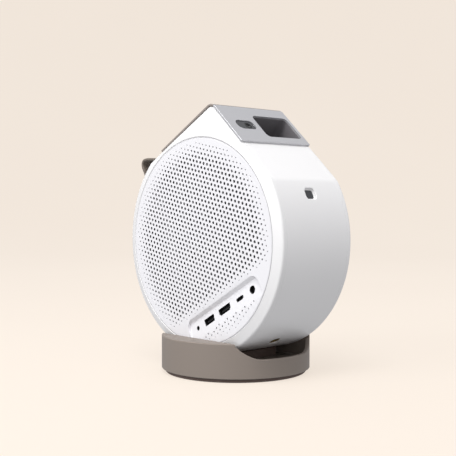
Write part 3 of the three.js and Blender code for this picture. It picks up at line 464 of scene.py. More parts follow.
# %% Lofts, prisms and rounded rectangles
def loft(name, rings, closed=False):
    """Joins rings of points. A closed loft joins the last ring to the first, an open one is capped."""
    count = len(rings[0])
    points = [point for ring in rings for point in ring]
    faces = []
    for level in range(len(rings) if closed else len(rings) - 1):
        low = level * count
        high = (level + 1) % len(rings) * count
        for i in range(count):
            j = (i + 1) % count
            faces.append((low + i, low + j, high + j, high + i))
    if not closed:
        faces.append(tuple(reversed(range(count))))
        faces.append(tuple(range((len(rings) - 1) * count, len(rings) * count)))
    return point_out(mesh_piece(name, points, faces))


def point_out(piece):
    """Makes a closed mesh's faces point outwards."""
    mesh = piece.data
    volume = 0.0
    for polygon in mesh.polygons:
        corners = [mesh.vertices[i].co for i in polygon.vertices]
        for b, c in zip(corners[1:], corners[2:]):
            volume += corners[0].dot(b.cross(c))
    if volume < 0:
        mesh.flip_normals()
    return piece


def rounded_rectangle(width, height, corner, x=0.0, y=0.0, steps=8):
    points = []
    for quarter in range(4):
        side_x = 1 if quarter in (0, 3) else -1
        side_y = 1 if quarter in (0, 1) else -1
        for i in range(steps + 1):
            angle = (quarter + i / steps) * math.pi / 2
            points.append((x + side_x * (width / 2 - corner) + corner * math.cos(angle),
                           y + side_y * (height / 2 - corner) + corner * math.sin(angle)))
    return points


def circle(radius, x=0.0, y=0.0, steps=48):
    turns = [2 * math.pi * i / steps for i in range(steps)]
    return [(x + radius * math.cos(turn), y + radius * math.sin(turn)) for turn in turns]


def upright(outline, height):
    return [(x, y, height) for x, y in outline]


def plug(name, outline, low, high):
    """A straight prism along Z."""
    return loft(name, [upright(outline, low), upright(outline, high)])


def swept(name, profile, steps):
    """A closed ring about Z from (radius, height) points that go once round its section."""
    return loft(name, [upright(circle(radius, steps=steps), z) for radius, z in profile], closed=True)


def turned(name, profile, steps=96, centre=(0.0, 0.0)):
    """A solid of revolution about Z from (radius, height) points that start and end on the axis."""
    rings = [upright(circle(radius, *centre, steps), height) for radius, height in profile]
    return loft(name, rings)


# %% [markdown]
# The drum's side view is a circle cut by two flats that meet in a rounded ridge. One function
# gives that outline at any inset, always with the same number of points, so that two outlines can
# be joined point by point. The side frame uses it for its sloping rim.

# %% The drum's outline
ARC_STEPS = 200
RIDGE_STEPS = 18
FLAT_STEPS = 40


def polar(radius, angle):
    """A point in (y, z), at an angle from straight up round towards the lens."""
    return -radius * math.sin(angle), radius * math.cos(angle)


def flat_points(start, end):
    """Points between two ends of a flat, so that a flat can be joined to a round outline too."""
    shares = [i / FLAT_STEPS for i in range(1, FLAT_STEPS)]
    return [tuple(a + (b - a) * share for a, b in zip(start, end)) for share in shares]


def drum_outline(inset):
    radius = DRUM_RADIUS - inset
    offset = FLAT_OFFSET - inset
    ridge = max(RIDGE_RADIUS - inset, 1 * MM)
    crease = math.acos(offset / radius)
    start = LENS_ANGLE + crease
    end = 2 * math.pi - crease
    arc = [polar(radius, start + (end - start) * i / ARC_STEPS) for i in range(ARC_STEPS + 1)]
    ridge_y, ridge_z = polar((offset - ridge) / math.cos(LENS_ANGLE / 2), LENS_ANGLE / 2)
    turn = []
    for i in range(RIDGE_STEPS + 1):
        y, z = polar(ridge, LENS_ANGLE * i / RIDGE_STEPS)
        turn.append((ridge_y + y, ridge_z + z))
    return arc + flat_points(arc[-1], turn[0]) + turn + flat_points(turn[-1], arc[0])


def face_ring(x, outline):
    return [(x, y, z) for y, z in outline]


def round_like(radius, outline):
    """A circle's points in the same directions as an outline's."""
    return [(y * radius / math.hypot(y, z), z * radius / math.hypot(y, z)) for y, z in outline]


print("outline of", len(drum_outline(0)), "points")

# %% [markdown]
# The side frames carry the sloping white rims. Each one is a closed loop of rings: along the
# barrel, round the soft edge, up the slope to the grille's mouth, down the bore to the ledge and
# back inside. The mouth stays round while the outside follows the flats and the ridge, so the
# slope is narrow beside the flats and grows into one broad plane below the ridge.

# %% Side frames
MOUTH_RADIUS = GRILLE_RADIUS + GAP + 0.25 * MM
LEDGE_RADIUS = min(math.hypot(p.y, p.z) for p in node_points("left_side_frame", DRUM))
FRAME_INNER = node_box("right_side_frame", DRUM)[0].x
LEDGE_X = GRILLE_BACK - GAP
RIM = 0.5 * MM


def between(low, high, share):
    return [(a + (c - a) * share, b + (d - b) * share) for (a, b), (c, d) in zip(low, high)]


def frame_rings(side):
    outer = drum_outline(0)
    mouth = round_like(MOUTH_RADIUS + RIM, outer)
    stations = [(FRAME_INNER, 0.01), (FRAME_INNER + 0.08 * MM, 0.0)]
    edge_start = (BARREL_HALF - 1.6 * MM, 0.0)
    edge_end = (BARREL_HALF + 0.55 * MM, 0.55 / 3.0)
    for i in range(9):
        t = i / 8
        x = (1 - t) ** 2 * edge_start[0] + 2 * t * (1 - t) * BARREL_HALF + t * t * edge_end[0]
        stations.append((x, t * t * edge_end[1]))
    stations += [(FACE_HALF - 0.5 * MM, 1 - 0.5 / 3.0), (FACE_HALF - 0.08 * MM, 0.985), (FACE_HALF, 1.0)]
    rings = [face_ring(side * x, between(outer, mouth, share)) for x, share in stations]
    bore = round_like(MOUTH_RADIUS, outer)
    ledge = round_like(LEDGE_RADIUS, outer)
    rings.append(face_ring(side * (FACE_HALF - RIM), bore))
    rings.append(face_ring(side * LEDGE_X, bore))
    rings.append(face_ring(side * LEDGE_X, ledge))
    rings.append(face_ring(side * FRAME_INNER, ledge))
    return rings


# %% [markdown]
# The window well and the camera sit so near the drum's ends that both frames need notches for
# them. The openings are measured from the lens well and the camera window in the frame, and the
# same two tools cut the barrel too.

# %% Openings of the lens flat
LENS_IN_DRUM = DRUM.inverted() @ LENS_FLAT
well_low, well_high = node_box("lens_well", LENS_FLAT)
eye_low, eye_high = node_box("camera_window", LENS_FLAT)
WELL_WALL = 1.6 * MM
WINDOW_X, WINDOW_Y = (well_low.x + well_high.x) / 2, (well_low.y + well_high.y) / 2
WINDOW_WIDTH = well_high.x - well_low.x - 2 * WELL_WALL
WINDOW_HEIGHT = well_high.y - well_low.y - 2 * WELL_WALL
WINDOW_CORNER = 4.0 * MM
CAMERA_X, CAMERA_Y = (eye_low.x + eye_high.x) / 2, (eye_low.y + eye_high.y) / 2
CAMERA_WIDTH, CAMERA_HEIGHT = eye_high.x - eye_low.x + 2 * GAP, eye_high.y - eye_low.y + 2 * GAP
CAMERA_CORNER = 5.0 * MM


def window_outline(grow):
    return rounded_rectangle(WINDOW_WIDTH + 2 * grow, WINDOW_HEIGHT + 2 * grow, WINDOW_CORNER + grow,
                             WINDOW_X, WINDOW_Y)


def camera_outline(grow):
    return rounded_rectangle(CAMERA_WIDTH + 2 * grow, CAMERA_HEIGHT + 2 * grow, CAMERA_CORNER + grow,
                             CAMERA_X, CAMERA_Y)


def lens_tools():
    """Tools for the lens well and the camera, in the drum's frame."""
    well = plug("well_tool", window_outline(WELL_WALL + GAP), well_low.z - WELL_WALL, SHELL_WALL)
    eye = plug("camera_tool", camera_outline(GAP), -10.6 * MM, SHELL_WALL)
    for tool in (well, eye):
        tool.data.transform(LENS_IN_DRUM)
    return well, eye


for side, label in ((-1, "left"), (1, "right")):
    piece = loft(label + "_frame_rim", frame_rings(side), closed=True)
    carve(piece, *lens_tools())
    finish(piece, "drum", white_shell, "white_shell", label + "_side_frame", place=DRUM, sharp=30)

# %% [markdown]
# The barrel is a tube with the same side view. It has many openings: the well, the camera, four
# buttons, the remote sensor, the tripod bush and the two slots of the strap. The strap's route is
# a Catmull-Rom curve through a few points, and its slots are cut with a slightly fatter strap.

# %% The strap's route
STRAP_WIDTH = 40.0 * MM
STRAP_THICKNESS = 2.2 * MM
STRAP_CORNER = 0.9 * MM
STRAP_ROUTE = [(9, 81.2), (17, 86.4), (28, 93), (38, 99.2), (46.5, 104.4), (51.6, 106),
               (54.6, 103.6), (55.2, 97), (55, 88), (55, 78), (55.4, 68), (55.4, 62)]


def catmull_rom(points, steps):
    """A smooth polyline through points, with knots spaced by the root of their distance."""
    padded = [2 * points[0] - points[1], *points, 2 * points[-1] - points[-2]]
    line = []
    for a, b, c, d in zip(padded, padded[1:], padded[2:], padded[3:]):
        knots = [0.0]
        for p, q in ((a, b), (b, c), (c, d)):
            knots.append(knots[-1] + max((q - p).length, 1e-9) ** 0.5)
        for i in range(steps):
            t = knots[1] + (knots[2] - knots[1]) * i / steps
            level = [a, b, c, d]
            for width in (1, 2, 2):
                spans = len(level) - 1
                start = 0 if width == 1 or spans == 2 else 1
                spread = [knots[start + k + width] - knots[start + k] for k in range(spans)]
                shares = [(t - knots[start + k]) / spread[k] for k in range(spans)]
                level = [level[k].lerp(level[k + 1], shares[k]) for k in range(spans)]
            line.append(level[0])
    return [*line, points[-1]]


def strap_ribbon(name, grow):
    route = catmull_rom([Vector((0, y, z)) * MM for y, z in STRAP_ROUTE], 10)
    section = rounded_rectangle(STRAP_WIDTH + 2 * grow, STRAP_THICKNESS + 2 * grow, STRAP_CORNER, steps=4)
    rings = []
    for i, point in enumerate(route):
        along = (route[min(i + 1, len(route) - 1)] - route[max(i - 1, 0)]).normalized()
        across = Vector((0, -along.z, along.y))
        rings.append([Vector((u, 0, 0)) + point + across * v for u, v in section])
    return loft(name, rings)


strap = strap_ribbon("strap_loop", 0.0)
finish(strap, "drum", strap_skin, "strap_skin", "carry_strap", place=DRUM)

# %% Barrel shell
SENSOR_ANGLE = math.radians(95.3)
sensor_low, sensor_high = node_box("sensor_window", DRUM @ Matrix.Rotation(SENSOR_ANGLE, 4, "X"))
SENSOR_WIDTH = sensor_high.x - sensor_low.x
SENSOR_HEIGHT = sensor_high.y - sensor_low.y
SENSOR_CORNER = 2.2 * MM


def sensor_outline(grow):
    return rounded_rectangle(SENSOR_WIDTH + 2 * grow, SENSOR_HEIGHT + 2 * grow, SENSOR_CORNER + grow)


def sensor_tool():
    """A straight hole that flares into a soft rim at the barrel's surface."""
    stations = [(-0.3 * MM, DRUM_RADIUS - 2 * SHELL_WALL), (-0.3 * MM, DRUM_RADIUS - 2.1 * MM),
                (0.5 * MM, DRUM_RADIUS - 1.3 * MM), (0.7 * MM, DRUM_RADIUS - 0.5 * MM),
                (1.2 * MM, DRUM_RADIUS - 0.12 * MM), (1.5 * MM, DRUM_RADIUS + 1 * MM)]
    tool = loft("sensor_tool", [upright(sensor_outline(grow), height) for grow, height in stations])
    tool.data.transform(Matrix.Rotation(SENSOR_ANGLE, 4, "X"))
    return tool


BUTTONS = ("power_button", "volume_down_button", "volume_up_button", "source_button")


def button_holes(low_end):
    """A prism for each button's hole, from a given height up through the top flat."""
    holes = []
    for name in BUTTONS:
        low, high = node_box(name, DRUM)
        outline = circle((high.x - low.x) / 2 + GAP, (low.x + high.x) / 2, (low.y + high.y) / 2)
        holes.append(plug(name + "_hole", outline, low_end, FLAT_OFFSET + SHELL_WALL))
    return holes


button_tools = button_holes(FLAT_OFFSET - 3 * SHELL_WALL)
bush_low, bush_high = node_box("tripod_bush", DRUM)
BUSH_RADIUS = (bush_high.x - bush_low.x) / 2
bush_outline = circle(BUSH_RADIUS + GAP)
bush_tool = plug("bush_tool", bush_outline, -DRUM_RADIUS - SHELL_WALL, -DRUM_RADIUS + 2 * SHELL_WALL)

EDGE = 0.08 * MM
SKIN_HALF = FRAME_INNER - 0.05 * MM
shell_stations = [(-SKIN_HALF, EDGE), (-SKIN_HALF + EDGE, 0.0), (SKIN_HALF - EDGE, 0.0), (SKIN_HALF, EDGE),
                  (SKIN_HALF, SHELL_WALL), (-SKIN_HALF, SHELL_WALL)]
barrel = loft("barrel_skin", [face_ring(x, drum_outline(inset)) for x, inset in shell_stations], closed=True)
strap_slots = strap_ribbon("strap_tool", GAP)
carve(barrel, *lens_tools(), *button_tools, sensor_tool(), bush_tool, strap_slots)
finish(barrel, "drum", white_shell, "white_shell", "barrel_shell", place=DRUM, sharp=30)

# %% [markdown]
# Each grille is a moulded disc with a deep rim and a thin perforated face. The holes sit on a
# triangular lattice. A Geometry Nodes tree makes the lattice, shrinks the holes in the last rows
# before the rim and beside the port pocket, puts a tapered cutter on every point and subtracts
# them all at once. Its inputs have names, so both grilles use one tree.

# %% Two frames for the two end faces
LEFT_FACE = DRUM @ Matrix(((0, 0, -1, -FACE_HALF), (-1, 0, 0, 0), (0, 1, 0, 0), (0, 0, 0, 1)))
RIGHT_FACE = DRUM @ Matrix(((0, 0, 1, FACE_HALF), (1, 0, 0, 0), (0, 1, 0, 0), (0, 0, 0, 1)))
GRILLE_DEPTH = FACE_HALF - GRILLE_BACK
SHEET = 0.5 * MM
HOLE_PITCH = 4.1 * MM
HOLE_RADIUS = 1.2 * MM
ROW_TURN = math.radians(18.5)
HOLES_ACROSS = 61
POCKET_MARGIN = 2.2 * MM

# %% The tree that perforates a face
class Tree:
    """A Geometry Nodes tree with named inputs."""

    def __init__(self, name):
        self.tree = bpy.data.node_groups.new(name, "GeometryNodeTree")
        self.tree.is_modifier = True
        self.tree.interface.new_socket("Geometry", in_out="INPUT", socket_type="NodeSocketGeometry")
        self.tree.interface.new_socket("Geometry", in_out="OUTPUT", socket_type="NodeSocketGeometry")
        self.source = self.tree.nodes.new("NodeGroupInput")
        self.output = self.tree.nodes.new("NodeGroupOutput")
        self.sockets = {}

    def value(self, name, kind="NodeSocketFloat"):
        socket = self.tree.interface.new_socket(name, in_out="INPUT", socket_type=kind)
        self.sockets[name] = socket.identifier
        return self.source.outputs[name]

    def node(self, kind, settings=None, inputs=()):
        return add_node(self.tree, kind, settings, inputs)

    def math(self, operation, *values):
        return self.node("ShaderNodeMath", {"operation": operation}, values)[0]

    def vector(self, x, y, z):
        return self.node("ShaderNodeCombineXYZ", None, (x, y, z))[0]

    def ramp(self, value, low, high, start, end):
        settings = {"interpolation_type": "LINEAR", "clamp": True}
        inputs = {"Value": value, "From Min": low, "From Max": high, "To Min": start, "To Max": end}
        return self.node("ShaderNodeMapRange", settings, inputs)[0]

    def apply(self, piece, **values):
        modifier = piece.modifiers.new(self.tree.name, "NODES")
        modifier.node_group = self.tree
        for name, value in values.items():
            modifier[self.sockets[name.replace("_", " ")]] = value
        return bake(piece)


def perforation():
    t = Tree("perforation")
    pitch = t.value("Pitch")
    radius = t.value("Hole Radius")
    turn = t.value("Turn")
    full = t.value("Full Until")
    last = t.value("Last Hole")
    smallest = t.value("Smallest")
    top = t.value("Pocket Top")
    bottom = t.value("Pocket Bottom")
    shallow = t.value("Last Below Pocket")
    material = t.value("Material", "NodeSocketMaterial")
    row = t.math("MULTIPLY", pitch, math.sqrt(3) / 2)
    grid = t.node("GeometryNodeMeshGrid", None, {
        "Size X": t.math("MULTIPLY", pitch, HOLES_ACROSS - 1.0),
        "Size Y": t.math("MULTIPLY", row, HOLES_ACROSS - 1.0),
        "Vertices X": HOLES_ACROSS, "Vertices Y": HOLES_ACROSS})[0]
    place = t.node("ShaderNodeSeparateXYZ", None, (t.node("GeometryNodeInputPosition")[0],))
    odd = t.math("FLOORED_MODULO", t.math("ROUND", t.math("DIVIDE", place[1], row)), 2.0)
    half_pitch = t.math("MULTIPLY", t.math("MULTIPLY", odd, pitch), 0.5)
    shifted = t.node("GeometryNodeSetPosition", None, {
        "Geometry": grid, "Offset": t.vector(half_pitch, 0.0, 0.0)})[0]
    turned_grid = t.node("GeometryNodeTransform", None, {
        "Geometry": shifted, "Rotation": t.vector(0.0, 0.0, turn)})[0]
    spot = t.node("ShaderNodeSeparateXYZ", None, (t.node("GeometryNodeInputPosition")[0],))
    squares = [t.math("MULTIPLY", side, side) for side in (spot[0], spot[1])]
    reach = t.math("SQRT", t.math("ADD", *squares))
    rim_share = t.ramp(reach, full, last, 1.0, smallest)
    above = t.ramp(t.math("SUBTRACT", spot[1], top), POCKET_MARGIN, 9 * MM, smallest, 1.0)
    below = t.ramp(t.math("SUBTRACT", bottom, spot[1]), 0.5 * MM, 8 * MM, 0.66, smallest)
    is_below = t.math("LESS_THAN", spot[1], bottom)
    is_above = t.math("SUBTRACT", 1.0, is_below)
    beside = t.math("ADD", t.math("MULTIPLY", below, is_below), t.math("MULTIPLY", above, is_above))
    share = t.math("MINIMUM", rim_share, beside)
    inside = t.math("LESS_THAN", reach, last)
    clear_above = t.math("GREATER_THAN", spot[1], t.math("ADD", top, POCKET_MARGIN))
    clear_below = t.math("MULTIPLY", t.math("LESS_THAN", spot[1], t.math("SUBTRACT", bottom, 0.5 * MM)),
                         t.math("LESS_THAN", t.math("ABSOLUTE", spot[0]), shallow))
    chosen = t.math("MULTIPLY", inside, t.math("ADD", clear_above, clear_below))
    wide = t.math("MULTIPLY", share, radius)
    cutter = t.node("GeometryNodeMeshCone", {"fill_type": "NGON"}, {
        "Vertices": 14, "Radius Top": 1.06, "Radius Bottom": 0.94, "Depth": 2.6 * MM})[0]
    low_cutter = t.node("GeometryNodeTransform", None, {
        "Geometry": cutter, "Translation": (0.0, 0.0, -1.5 * MM)})[0]
    holes = t.node("GeometryNodeInstanceOnPoints", None, {
        "Points": turned_grid, "Selection": t.math("GREATER_THAN", chosen, 0.5), "Instance": low_cutter,
        "Scale": t.vector(wide, wide, 1.0)})[0]
    solid_holes = t.node("GeometryNodeRealizeInstances", None, {"Geometry": holes})[0]
    cut = t.node("GeometryNodeMeshBoolean", {"operation": "DIFFERENCE", "solver": "MANIFOLD"}, {
        0: t.source.outputs["Geometry"], 1: solid_holes})[0]
    dressed = t.node("GeometryNodeSetMaterial", None, {"Geometry": cut, "Material": material})[0]
    t.tree.links.new(dressed, t.output.inputs["Geometry"])
    return t


perforate = perforation()
print("perforation tree of", len(perforate.tree.nodes), "nodes")

# %% [markdown]
# The left grille also holds the port pocket. Its upper wall is a soft slope and its floor rises
# until it is flush with the face below. The pocket and the port mouths are cut while the disc is
# still plain, and the holes come last, all in one cut.

# %% Grille bodies
def grille_disc(name):
    core = 20 * MM
    edge = 0.5 * MM
    lip = GRILLE_RADIUS - 2.2 * MM
    profile = [(core, 0), (GRILLE_RADIUS - edge, 0), (GRILLE_RADIUS - 0.15 * MM, -0.15 * MM),
               (GRILLE_RADIUS, -edge), (GRILLE_RADIUS, -GRILLE_DEPTH), (lip, -GRILLE_DEPTH),
               (lip, -SHEET), (core, -SHEET)]
    return turned(name, profile, steps=256)


PORT_ROW = -59.2 * MM
POCKET_TOP = PORT_ROW + 8.9 * MM
POCKET_BOTTOM = PORT_ROW - 7.8 * MM
POCKET_HALF = 45 * MM
POCKET_DEPTH = 2.6 * MM
POCKET_CORNER = 8 * MM
PORT_BACK = GRILLE_DEPTH + 3 * MM


def pocket_tool():
    """A rounded prism with a shaped bottom: a soft slope under the upper edge, then slowly back to flush."""
    brow = 0.6 * MM
    height = POCKET_TOP + brow - POCKET_BOTTOM + POCKET_CORNER
    middle = POCKET_TOP + brow - height / 2
    outline = rounded_rectangle(2 * POCKET_HALF, height, POCKET_CORNER, 0, middle, steps=12)
    prism = plug("pocket_prism", outline, -2 * POCKET_DEPTH, 2 * MM)
    drops = [(brow, 1.5 * MM), (brow, 0.0), (0.25 * MM, -0.08 * MM), (-0.05 * MM, -0.26 * MM),
             (-0.3 * MM, -0.52 * MM), (-2.1 * MM, -2.3 * MM), (-2.4 * MM, -2.5 * MM),
             (-2.8 * MM, -2.58 * MM)]
    side = [(POCKET_TOP + v, w) for v, w in drops]
    side += [(POCKET_BOTTOM, 0), (POCKET_BOTTOM - 1.5 * MM, 0.3 * MM), (POCKET_BOTTOM - 1.5 * MM, 1.5 * MM)]
    ends = (-POCKET_HALF - MM, POCKET_HALF + MM)
    wedge = loft("pocket_wedge", [[(u, v, w) for v, w in side] for u in ends])
    return carve(prism, wedge, operation="INTERSECT")


# Width, height and place along the row of each port mouth, as seen from the left.
PORTS = {"hdmi": (14.6, 5.6, 0.0), "usb_a": (12.6, 5.6, -19.8), "usb_c": (9.0, 3.2, 19.4),
         "dc_power": (6.4, 6.4, 34.7), "audio": (3.8, 3.8, -35.2)}


def port_outline(name):
    width, height, x = (value * MM for value in PORTS[name])
    if name == "hdmi":
        slope = 1.6 * MM
        corners = ((width / 2, height / 2), (-width / 2, height / 2), (-width / 2, -height / 2 + slope),
                   (-width / 2 + slope, -height / 2), (width / 2 - slope, -height / 2),
                   (width / 2, -height / 2 + slope))
        return [(x + a, PORT_ROW + b) for a, b in corners]
    if width == height:
        return circle(width / 2, x, PORT_ROW)
    corner = height / 2 - 0.01 * MM if name == "usb_c" else 0.5 * MM
    return rounded_rectangle(width, height, corner, x, PORT_ROW, steps=6)


def pocket_block(name, extra, height, low, high):
    """A block behind the pocket, a given length longer than it."""
    outline = rounded_rectangle(2 * POCKET_HALF + extra, height, 2 * MM, 0, POCKET_TOP - 8.0 * MM)
    return plug(name, outline, low, high)


left = grille_disc("left_grille_face")
for depth, radius in ((PORT_BACK, LEDGE_RADIUS - GAP), (GRILLE_DEPTH - 0.05 * MM, GRILLE_RADIUS - 1.5 * MM)):
    backing = pocket_block("backing", 2 * MM, 17.5 * MM, -depth, -SHEET / 2)
    limit = plug("backing_limit", circle(radius, steps=128), -depth - MM, 0)
    carve(backing, limit, operation="INTERSECT")
    carve(left, backing, operation="UNION")
carve(left, pocket_tool())
for name in PORTS:
    carve(left, plug(name + "_mouth", port_outline(name), -PORT_BACK - MM, MM))

# %% [markdown]
# Three small things make the grilles look real close up: black liners in the port mouths, a thin
# grey ring in the seam round each grille, which paints the seam's shade, and black cloth close
# behind the holes.

# %% Black liners and tongues in the port mouths
LINER_WALL = 0.45 * MM


def port_insert(name):
    """A black sleeve inside a mouth, closed at its back, with a tongue for the wide ports."""
    width, height, x = (value * MM for value in PORTS[name])
    narrow, fitted = [
        [(x + (a - x) * (1 - less / width), PORT_ROW + (b - PORT_ROW) * (1 - less / height))
         for a, b in port_outline(name)] for less in (2 * LINER_WALL, 0.1 * MM)]
    rings = [upright(fitted, -PORT_BACK - 0.2 * MM), upright(fitted, -1.9 * MM),
             upright(narrow, -2.1 * MM), upright(narrow, -PORT_BACK + 0.4 * MM)]
    sleeve = loft("port_insert_" + name, rings)
    if name in ("hdmi", "usb_a", "usb_c"):
        blade = rounded_rectangle(width * 0.72, height * 0.16, 0.1 * MM, x, PORT_ROW, steps=2)
        tongue = plug("tongue", blade, -PORT_BACK, -3.2 * MM)
        carve(sleeve, tongue, operation="UNION")
    return sleeve


for name in PORTS:
    finish(port_insert(name), "drum", port_plastic, "black_plastic", place=LEFT_FACE)

# %% Perforate both grilles
FADE = {"Pitch": HOLE_PITCH, "Hole Radius": HOLE_RADIUS, "Full Until": 65 * MM, "Last Hole": 77.8 * MM,
        "Smallest": 0.36, "Material": grille_white.material}
perforate.apply(left, **FADE, Turn=ROW_TURN, Pocket_Top=POCKET_TOP, Pocket_Bottom=POCKET_BOTTOM + 0.6 * MM,
                Last_Below_Pocket=36 * MM)
finish(left, "drum", grille_white, "grille_white", "left_grille", place=LEFT_FACE)
right = grille_disc("right_grille_face")
perforate.apply(right, **FADE, Turn=-ROW_TURN, Pocket_Top=-1.0, Pocket_Bottom=-2.0, Last_Below_Pocket=0.0)
finish(right, "drum", grille_white, "grille_white", "right_grille", place=RIGHT_FACE)

# %% Grey rings in the grille seams, as painted seam shade
# These grey rings are painted shade: they stand in for the shade of the seam between grille and rim.
seam_shade_grey = moulded("seam_shade_grey", paint(200, 199, 201), 0.6)
for label, place in (("left", LEFT_FACE), ("right", RIGHT_FACE)):
    inner, outer = GRILLE_RADIUS + 0.03 * MM, MOUTH_RADIUS - 0.03 * MM
    profile = [(inner, -2 * MM), (inner, -0.3 * MM), (outer, -0.3 * MM), (outer, -2 * MM)]
    finish(swept(label + "_grille_seam_shade", profile, 256), "drum", seam_shade_grey, None, place=place)

# %% Acoustic cloth behind the holes
for label, place in (("left", LEFT_FACE), ("right", RIGHT_FACE)):
    outline = circle(GRILLE_RADIUS - 2.6 * MM, steps=128)
    cloth = plug(label + "_grille_cloth", outline, -GRILLE_DEPTH + 0.1 * MM, -SHEET - 0.3 * MM)
    if label == "left":
        carve(cloth, pocket_block("cloth_cut", 3 * MM, 18.5 * MM, -PORT_BACK, 0))
    finish(cloth, "drum", acoustic_cloth, None, place=place)

# %% [markdown]
# Two thin plates wrap the flats. In side view each follows a straight run and a share of the
# ridge, so each is a loft of narrow rounded sections along that path. The sections get shorter
# near the lower end, which rounds the plate's corners.

# %% Lens plate and top plate
PLATE_HALF = node_box("lens_plate", DRUM)[1].x
PLATE_THICKNESS = node_box("lens_plate", LENS_FLAT)[1].z - GAP
LENS_PLATE_END = node_box("lens_plate", LENS_FLAT)[0].y
TOP_PLATE_END = node_box("top_plate", DRUM)[1].y
SEAM_ANGLE = 0.75 * LENS_ANGLE
SEAM_HALF = 1.1 * math.pi / 180
PLATE_CORNER = 0.8 * MM
ridge_centre = Vector((0, *polar((FLAT_OFFSET - RIDGE_RADIUS) / math.cos(LENS_ANGLE / 2), LENS_ANGLE / 2)))


def plate_path(flat_angle, end, from_angle, to_angle):
    """Points, outward normals and the distance from the plate's free end."""
    along = Vector((0, *polar(1, flat_angle - math.pi / 2)))
    normal = Vector((0, *polar(1, flat_angle)))
    foot = normal * FLAT_OFFSET
    turn = foot + along * (ridge_centre.dot(along))
    run = (turn - (foot + along * end)).length
    path = []
    for step in (0, 0.02, 0.08, 0.18, 0.33, 0.5, 0.7, 0.9, 1.0):
        start = foot + along * end
        inwards = (turn - foot - along * end).normalized()
        path.append((start + inwards * step * PLATE_CORNER, normal, step * PLATE_CORNER))
    path.append((turn, normal, run))
    steps = 14
    for i in range(1, steps + 1):
        angle = from_angle + (to_angle - from_angle) * i / steps
        outward = Vector((0, *polar(1, angle)))
        path.append((ridge_centre + outward * RIDGE_RADIUS, outward, run + i))
    return path


def plate(name, path):
    rings = []
    for point, normal, distance in path:
        short = max(0.0, PLATE_CORNER - distance)
        half = PLATE_HALF - (PLATE_CORNER - math.sqrt(max(0.0, PLATE_CORNER ** 2 - short ** 2)))
        depth = PLATE_THICKNESS + GAP - 0.03 * MM
        section = rounded_rectangle(2 * half, depth, 0.4 * MM, 0, 0.03 * MM + depth / 2, steps=4)
        rings.append([point + normal * v + Vector((u, 0, 0)) for u, v in section])
    return loft(name, rings)


lens_path = plate_path(LENS_ANGLE, LENS_PLATE_END, LENS_ANGLE, SEAM_ANGLE + SEAM_HALF)
lens_plate = plate("lens_plate_skin", lens_path)
lens_cuts = [plug("window_cut", window_outline(0), -3 * MM, 5 * MM),
             plug("camera_cut", camera_outline(-GAP), -3 * MM, 5 * MM)]
for tool in lens_cuts:
    tool.data.transform(LENS_IN_DRUM)
carve(lens_plate, *lens_cuts)
soften(lens_plate, 0.3 * MM, angle=60, segments=2)
finish(lens_plate, "drum", silver_plate, "silver_plate", "lens_plate", place=DRUM)

top_plate = plate("top_plate_skin", plate_path(0.0, TOP_PLATE_END, 0.0, SEAM_ANGLE - SEAM_HALF))
carve(top_plate, *button_holes(FLAT_OFFSET - MM))
soften(top_plate, 0.22 * MM, angle=60, segments=2)
finish(top_plate, "drum", taupe_plate, "taupe_plate", "top_plate", place=DRUM)

# %% [markdown]
# Behind the window is a deep dark well. Its floor carries a stepped ring round the front lens,
# and the lens itself is a shallow glass dome.

# %% Lens well and front lens
lens_low, lens_high = node_box("projection_lens", LENS_FLAT)
LENS_RADIUS = (lens_high.x - lens_low.x) / 2
LENS_AT = ((lens_low.x + lens_high.x) / 2, (lens_low.y + lens_high.y) / 2)
WELL_FLOOR = well_low.z + WELL_WALL
well_rings = [(WELL_WALL, well_low.z), (WELL_WALL, well_high.z), (0.35 * MM, well_high.z),
              (0.0, well_high.z - 0.35 * MM), (0.0, WELL_FLOOR + 1.5 * MM),
              (-0.5 * MM, WELL_FLOOR + 0.4 * MM), (-2.0 * MM, WELL_FLOOR)]
well = loft("lens_well_liner", [upright(window_outline(grow), height) for grow, height in well_rings])
ring_profile = [(LENS_RADIUS + 1.5 * MM, -0.2 * MM), (LENS_RADIUS + 1.5 * MM, 0.9 * MM),
                (LENS_RADIUS + 1.2 * MM, 1.2 * MM), (LENS_RADIUS + 0.9 * MM, 1.2 * MM),
                (LENS_RADIUS + 0.7 * MM, 0.8 * MM)]
ring = turned("well_ring", [(radius, WELL_FLOOR + height) for radius, height in ring_profile], 96, LENS_AT)
carve(well, ring, operation="UNION")
carve(well, plug("lens_bore", circle(LENS_RADIUS + GAP, *LENS_AT, 96), well_low.z - MM, WELL_FLOOR + 3 * MM))
finish(well, "drum", well_plastic, "dark_plastic", "lens_well", place=LENS_FLAT)

height = lens_high.z - lens_low.z
dome = [(LENS_RADIUS, 0), (LENS_RADIUS, height - 2.4 * MM)]
for i in range(1, 12):
    share = i / 12
    dome.append((LENS_RADIUS * (1 - share), height - 2.4 * MM * (1 - share) ** 2))
dome.append((0.02 * LENS_RADIUS, height))
front = turned("front_lens_dome", [(radius, lens_low.z + z) for radius, z in dome], 96, LENS_AT)
finish(front, "drum", lens_glass, "lens_glass", "projection_lens", place=LENS_FLAT, sharp=50)

# %% [markdown]
# The camera window is a smoked pane with a softened edge. The camera's lens and the stepped ring
# round it are one turned piece in that pane. The infrared sensor has a small flat smoked pane too,
# sunk a little below the barrel's skin.

